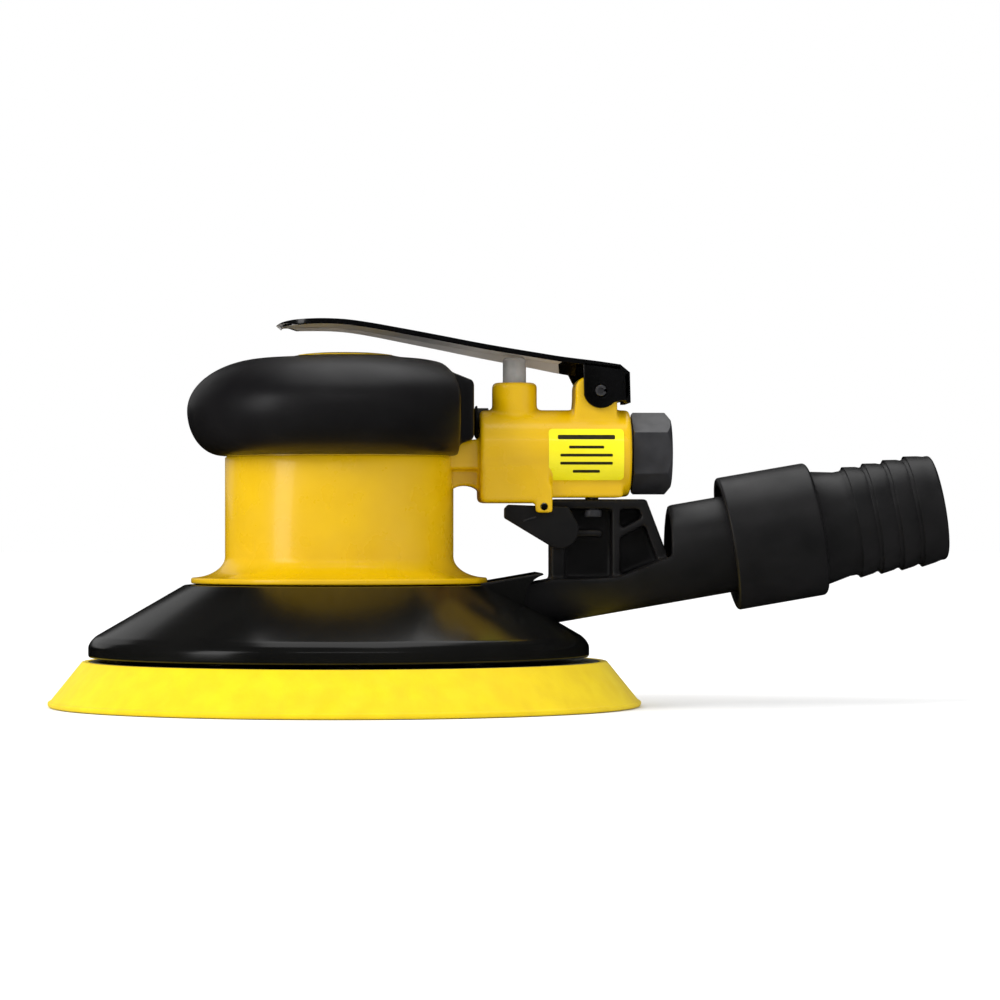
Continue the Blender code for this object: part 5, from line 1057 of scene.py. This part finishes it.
# ---- duct, hose tail and regulator --------------------------------------------------------
def build_duct():
    tube = [(0, 0), (TUBE_RADIUS, 0), (TUBE_RADIUS, TUBE_END), (0, TUBE_END)]
    tube = laid(spun(tube, ring=False), DUCT_AXIS, DUCT_START)
    start_x, rib_x, end_x = 53.3 * MM, 69.7 * MM, 77.4 * MM
    foot_x, foot_z, flat_z, top_z = 83.4 * MM, 38.0 * MM, 32.6 * MM, 52.4 * MM
    half = 6.4 * MM
    roof_start = on_duct(-20 * MM, -1 * MM)
    roof_edge = on_duct((start_x - DUCT_START.x) / DUCT_AXIS.x, -1 * MM)
    above, beside = 90 * MM, 20 * MM
    roof = slab(
        [
            (roof_start.x, roof_start.z), (roof_edge.x, roof_edge.z), (rib_x, flat_z), (foot_x, foot_z),
            (foot_x, above), (roof_start.x, above),
        ],
        -beside, beside, 0.0,
    )
    tube = combined(tube, "DIFFERENCE", roof)
    low, under_flange, web_half = 29.0 * MM, top_z - 0.5 * MM, 1.2 * MM
    web = slab(
        [
            (start_x + 1 * MM, low), (foot_x - 1 * MM, foot_z - 4 * MM), (foot_x - 1 * MM, foot_z),
            (end_x - 1 * MM, under_flange), (start_x + 1 * MM, under_flange),
        ],
        -web_half, web_half, 0.0,
    )
    flange = brick((start_x, -half, top_z - 2.4 * MM), (end_x, half, top_z), 0.3 * MM)
    left_wall = brick((start_x, -half, low), (start_x + 3.4 * MM, half, under_flange), 0.3 * MM)
    rib = brick((rib_x - 1 * MM, -half, 31 * MM), (rib_x + 1 * MM, half, under_flange), 0.3 * MM)
    right_wall = slab(
        [
            (end_x - 2.8 * MM, top_z), (foot_x - 2.4 * MM, foot_z - 3 * MM),
            (foot_x + 0.6 * MM, foot_z - 3 * MM), (end_x, top_z),
        ],
        -half, half, 0.3 * MM,
    )
    strut = slab(
        [(rib_x, 42.2 * MM), (79.0 * MM, 47.0 * MM), (78.4 * MM, 48.8 * MM), (rib_x, 44.2 * MM)],
        -half, half, 0.2 * MM,
    )
    shelf = brick((REGULATOR.x, -half, 43.0 * MM), (66.1 * MM, half, 44.5 * MM), 0.3 * MM)
    boss = bar(3.5 * MM, (REGULATOR.x, -half, REGULATOR.z), (REGULATOR.x, half, REGULATOR.z), 0.3 * MM)
    moulding = cast(merge(tube, web, flange, left_wall, rib, right_wall, strut, shelf, boss), 0.5 * MM, 3)
    passage_drop, half_width, half_height = -7.2 * MM, 7.6 * MM, 3.1 * MM
    passage = list(arc((0, passage_drop), (half_width, half_height), 0, 354, 47))
    passage_end = (foot_x - DUCT_START.x) / DUCT_AXIS.x + 3 * MM
    bore_radius = TUBE_RADIUS - TUBE_WALL
    bore = bar(bore_radius, on_duct(passage_end - 4 * MM), on_duct(TUBE_END + 5 * MM), steps=ROUND_STEPS)
    shaft_hole = bar(2.2 * MM, (REGULATOR.x, -12 * MM, REGULATOR.z), (REGULATOR.x, 2 * MM, REGULATOR.z))
    tools = [duct_prism(passage, -5 * MM, passage_end), bore, shaft_hole]
    for number in (1, 2):
        place = middle(f"duct_screw_{number}")
        tools.append(bar(1.7 * MM, (place.x, place.y, 46 * MM), (place.x, place.y, 60 * MM)))
    groove_low, groove_high, groove_floor, past = 65.0 * MM, 66.4 * MM, 11.3 * MM, 16 * MM
    groove = spun(
        [(groove_floor, groove_low), (past, groove_low), (past, groove_high), (groove_floor, groove_high)]
    )
    tools.append(laid(groove, DUCT_AXIS, DUCT_START))
    moulding = combined(moulding, "DIFFERENCE", *tools)
    piece("duct_moulding", moulding, SATIN_NYLON, "housing", "black_moulding", "exhaust_duct")


def build_hose_tail():
    collar_start, collar_end, tail_end = 54.7 * MM, 77.9 * MM, 109.6 * MM
    collar, mouth, recess = 17.0 * MM, 15.2 * MM, 4.2 * MM
    neck, crest, bore = 13.4 * MM, 14.3 * MM, 11.0 * MM
    first_barb, pitch, barbs = 87.0 * MM, 5.33 * MM, 4
    edge, collar_round, lip, mouth_round = 0.7 * MM, 1.1 * MM, 0.8 * MM, 0.6 * MM
    clear, catch, ledge = TUBE_RADIUS + 0.3 * MM, mouth - 0.5 * MM, collar_start + 1.4 * MM
    profile = [
        (mouth, collar_start), (collar - edge, collar_start),
        *arc((collar - edge, collar_start + edge), (edge, edge), 300, 360, 4),
        *arc((collar - collar_round, collar_end - collar_round), (collar_round, collar_round), 0, 80, 6),
        (neck + 1.6 * MM, collar_end), (neck + 1.15 * MM, collar_end + 0.7 * MM),
        (neck + 0.5 * MM, collar_end + 4 * MM), (neck, collar_end + 6.5 * MM),
    ]
    for index in range(barbs):
        top = first_barb + index * pitch
        profile += [
            (neck, top - 0.9 * MM), (neck + 0.25 * MM, top - 0.35 * MM),
            *arc((crest - 0.35 * MM, top), (0.35 * MM, 0.35 * MM), 180, 20, 6),
            (neck + 0.4 * MM, top + pitch * 0.62),
        ]
    last = first_barb + barbs * pitch
    profile += [
        (neck, last - 0.4 * MM), *arc((neck - lip, tail_end - lip), (lip, lip), 0, 90, 5),
        *arc((bore + mouth_round, tail_end - mouth_round), (mouth_round, mouth_round), 90, 180, 4),
        (bore, TUBE_END + 2 * MM), (clear, TUBE_END + 1 * MM), (clear, collar_start + recess),
        (catch, collar_start + recess), (catch, ledge), (mouth, ledge),
    ]
    tail = laid(spun(profile), DUCT_AXIS, DUCT_START)
    piece("hose_tail_moulding", tail, SATIN_NYLON, "hose_tail", "black_moulding", "hose_fitting")


def build_regulator():
    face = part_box("regulator_lever")[0].y
    thick = 1.5 * MM
    hub = 4.7 * MM
    tip_x, tip_low, tip_high = 41.3 * MM, 47.6 * MM, 51.0 * MM
    outline = [
        (tip_x, tip_low), *arc((REGULATOR.x, REGULATOR.z), (hub, hub), 238, 390, 26),
        (57.6 * MM, tip_high - 0.6 * MM), (tip_x + 1 * MM, tip_high), (tip_x, tip_high - 1 * MM),
    ]
    arm = slab(outline, face, face + thick, 0.4 * MM)
    root = Vector((REGULATOR.x, face + thick - 0.3 * MM, REGULATOR.z))
    shaft = bar(1.9 * MM, root, (REGULATOR.x, 1.4 * MM, REGULATOR.z))
    raised = face - 0.02 * MM
    pointer = bar(
        0.22 * MM, (46.0 * MM, raised, 46.9 * MM), (49.4 * MM, raised, 47.9 * MM), 0.1 * MM, 12
    )
    arm = merge(arm, shaft)
    piece("regulator_arm", arm, SATIN_NYLON, "regulator", "black_moulding", "regulator_lever")
    piece("regulator_pointer", pointer, BLACK_STEEL, "regulator", "black_moulding")


# ---- hidden pieces keep their solids and get their own finish ------------------------------
CAD_FINISHES = {
    "cast_steel": IRON, "bright_steel": STEEL, "blackened_steel": BLACK_STEEL, "brass": BRASS,
    "phenolic": PHENOLIC, "nitrile": NITRILE,
}


def finish_cad_nodes():
    for entry in frame["record"]["subparts"]:
        node = frame["nodes"][entry["node"]]
        finish = CAD_FINISHES.get(entry["material_slot"])
        if finish and not node.hide_render:
            node.data.materials.clear()
            node.data.materials.append(finish)


# ---- studio -------------------------------------------------------------------------------
def build_floor():
    bm = bmesh.new()
    bmesh.ops.create_grid(bm, x_segments=4, y_segments=4, size=6.0)
    floor = to_object("studio_floor", bm)
    material, tree, shader, place = start_finish("white_paper_sweep", Roughness=0.9)
    mottle(tree, shader, place, 400.0, "E9E9E9", "EBEBEB")
    shader.inputs["Specular IOR Level"].default_value = 0.1
    floor.data.materials.append(material)
    floor.visible_glossy = False


def add_softbox(name, place, aim, size, power):
    light = bpy.data.lights.new(name, "AREA")
    light.shape = "RECTANGLE"
    light.size, light.size_y = size
    light.energy = power
    lamp = bpy.data.objects.new(name, light)
    lamp.location = place
    lamp.rotation_euler = (Vector(aim) - Vector(place)).to_track_quat("-Z", "Y").to_euler()
    lamp.visible_camera = False
    bpy.context.collection.objects.link(lamp)
    return lamp


def add_key_light(towards, strength):
    """The broad light that throws the soft shadow to the right."""
    light = bpy.data.lights.new("key_light", "SUN")
    light.angle = radians(28)
    light.energy = strength
    lamp = bpy.data.objects.new("key_light", light)
    lamp.rotation_euler = Vector(towards).to_track_quat("Z", "Y").to_euler()
    lamp.visible_glossy = False
    bpy.context.collection.objects.link(lamp)


def build_world():
    """A white room. Reflections see only the softboxes, so that black gloss keeps its depth."""
    world = bpy.data.worlds.new("white_room")
    bpy.context.scene.world = world
    world.use_nodes = True
    background = world.node_tree.nodes["Background"]
    background.inputs["Color"].default_value = linear("FFFFFF")
    background.inputs["Strength"].default_value = 1.0
    world.cycles_visibility.glossy = False


def build_camera():
    """A long lens low down in front, a little to the left, with a level gaze."""
    aim = Vector((40.7, 0, 52.2)) * MM
    distance, azimuth = 1000 * MM, radians(-3)
    camera = bpy.data.objects.new("camera", bpy.data.cameras.new("camera"))
    camera.data.lens = 142
    camera.data.sensor_width = 36
    camera.data.clip_start, camera.data.clip_end = 0.05, 50
    camera.location = aim + Vector((sin(azimuth) * distance, -cos(azimuth) * distance, -7 * MM))
    camera.rotation_mode = "QUATERNION"
    camera.rotation_quaternion = (aim - camera.location).to_track_quat("-Z", "Y")
    bpy.context.collection.objects.link(camera)
    bpy.context.scene.camera = camera


def build_studio():
    build_floor()
    build_world()
    build_camera()
    centre = (0.03, 0, 0.05)
    add_softbox("left_softbox", (-0.85, -0.5, 0.35), centre, (0.35, 0.7), 1.6)
    add_softbox("top_softbox", (0.1, 0.22, 1.0), centre, (0.8, 1.2), 3.6)
    add_softbox("strip_light", (0.05, -0.75, 0.6), centre, (0.7, 0.06), 0.25)
    add_softbox("back_card", (-0.5, 0.9, 0.38), centre, (0.6, 0.5), 0.3)
    fill = add_softbox("right_fill", (0.85, -0.6, 0.3), centre, (0.6, 0.6), 2.2)
    fill.visible_glossy = False
    add_key_light((-0.78, -0.42, 0.62), 1.9)
    bpy.context.scene.view_settings.view_transform = "Standard"


for build in (
    build_studio, build_foam, build_hook_face, build_backplate, build_shroud, build_housing_shell,
    build_valve_casting, build_grip, build_badge, build_lever, build_lever_pin, build_stem,
    build_bushing, build_small_fittings, build_label, build_duct, build_hose_tail, build_regulator,
    finish_cad_nodes,
):
    build()
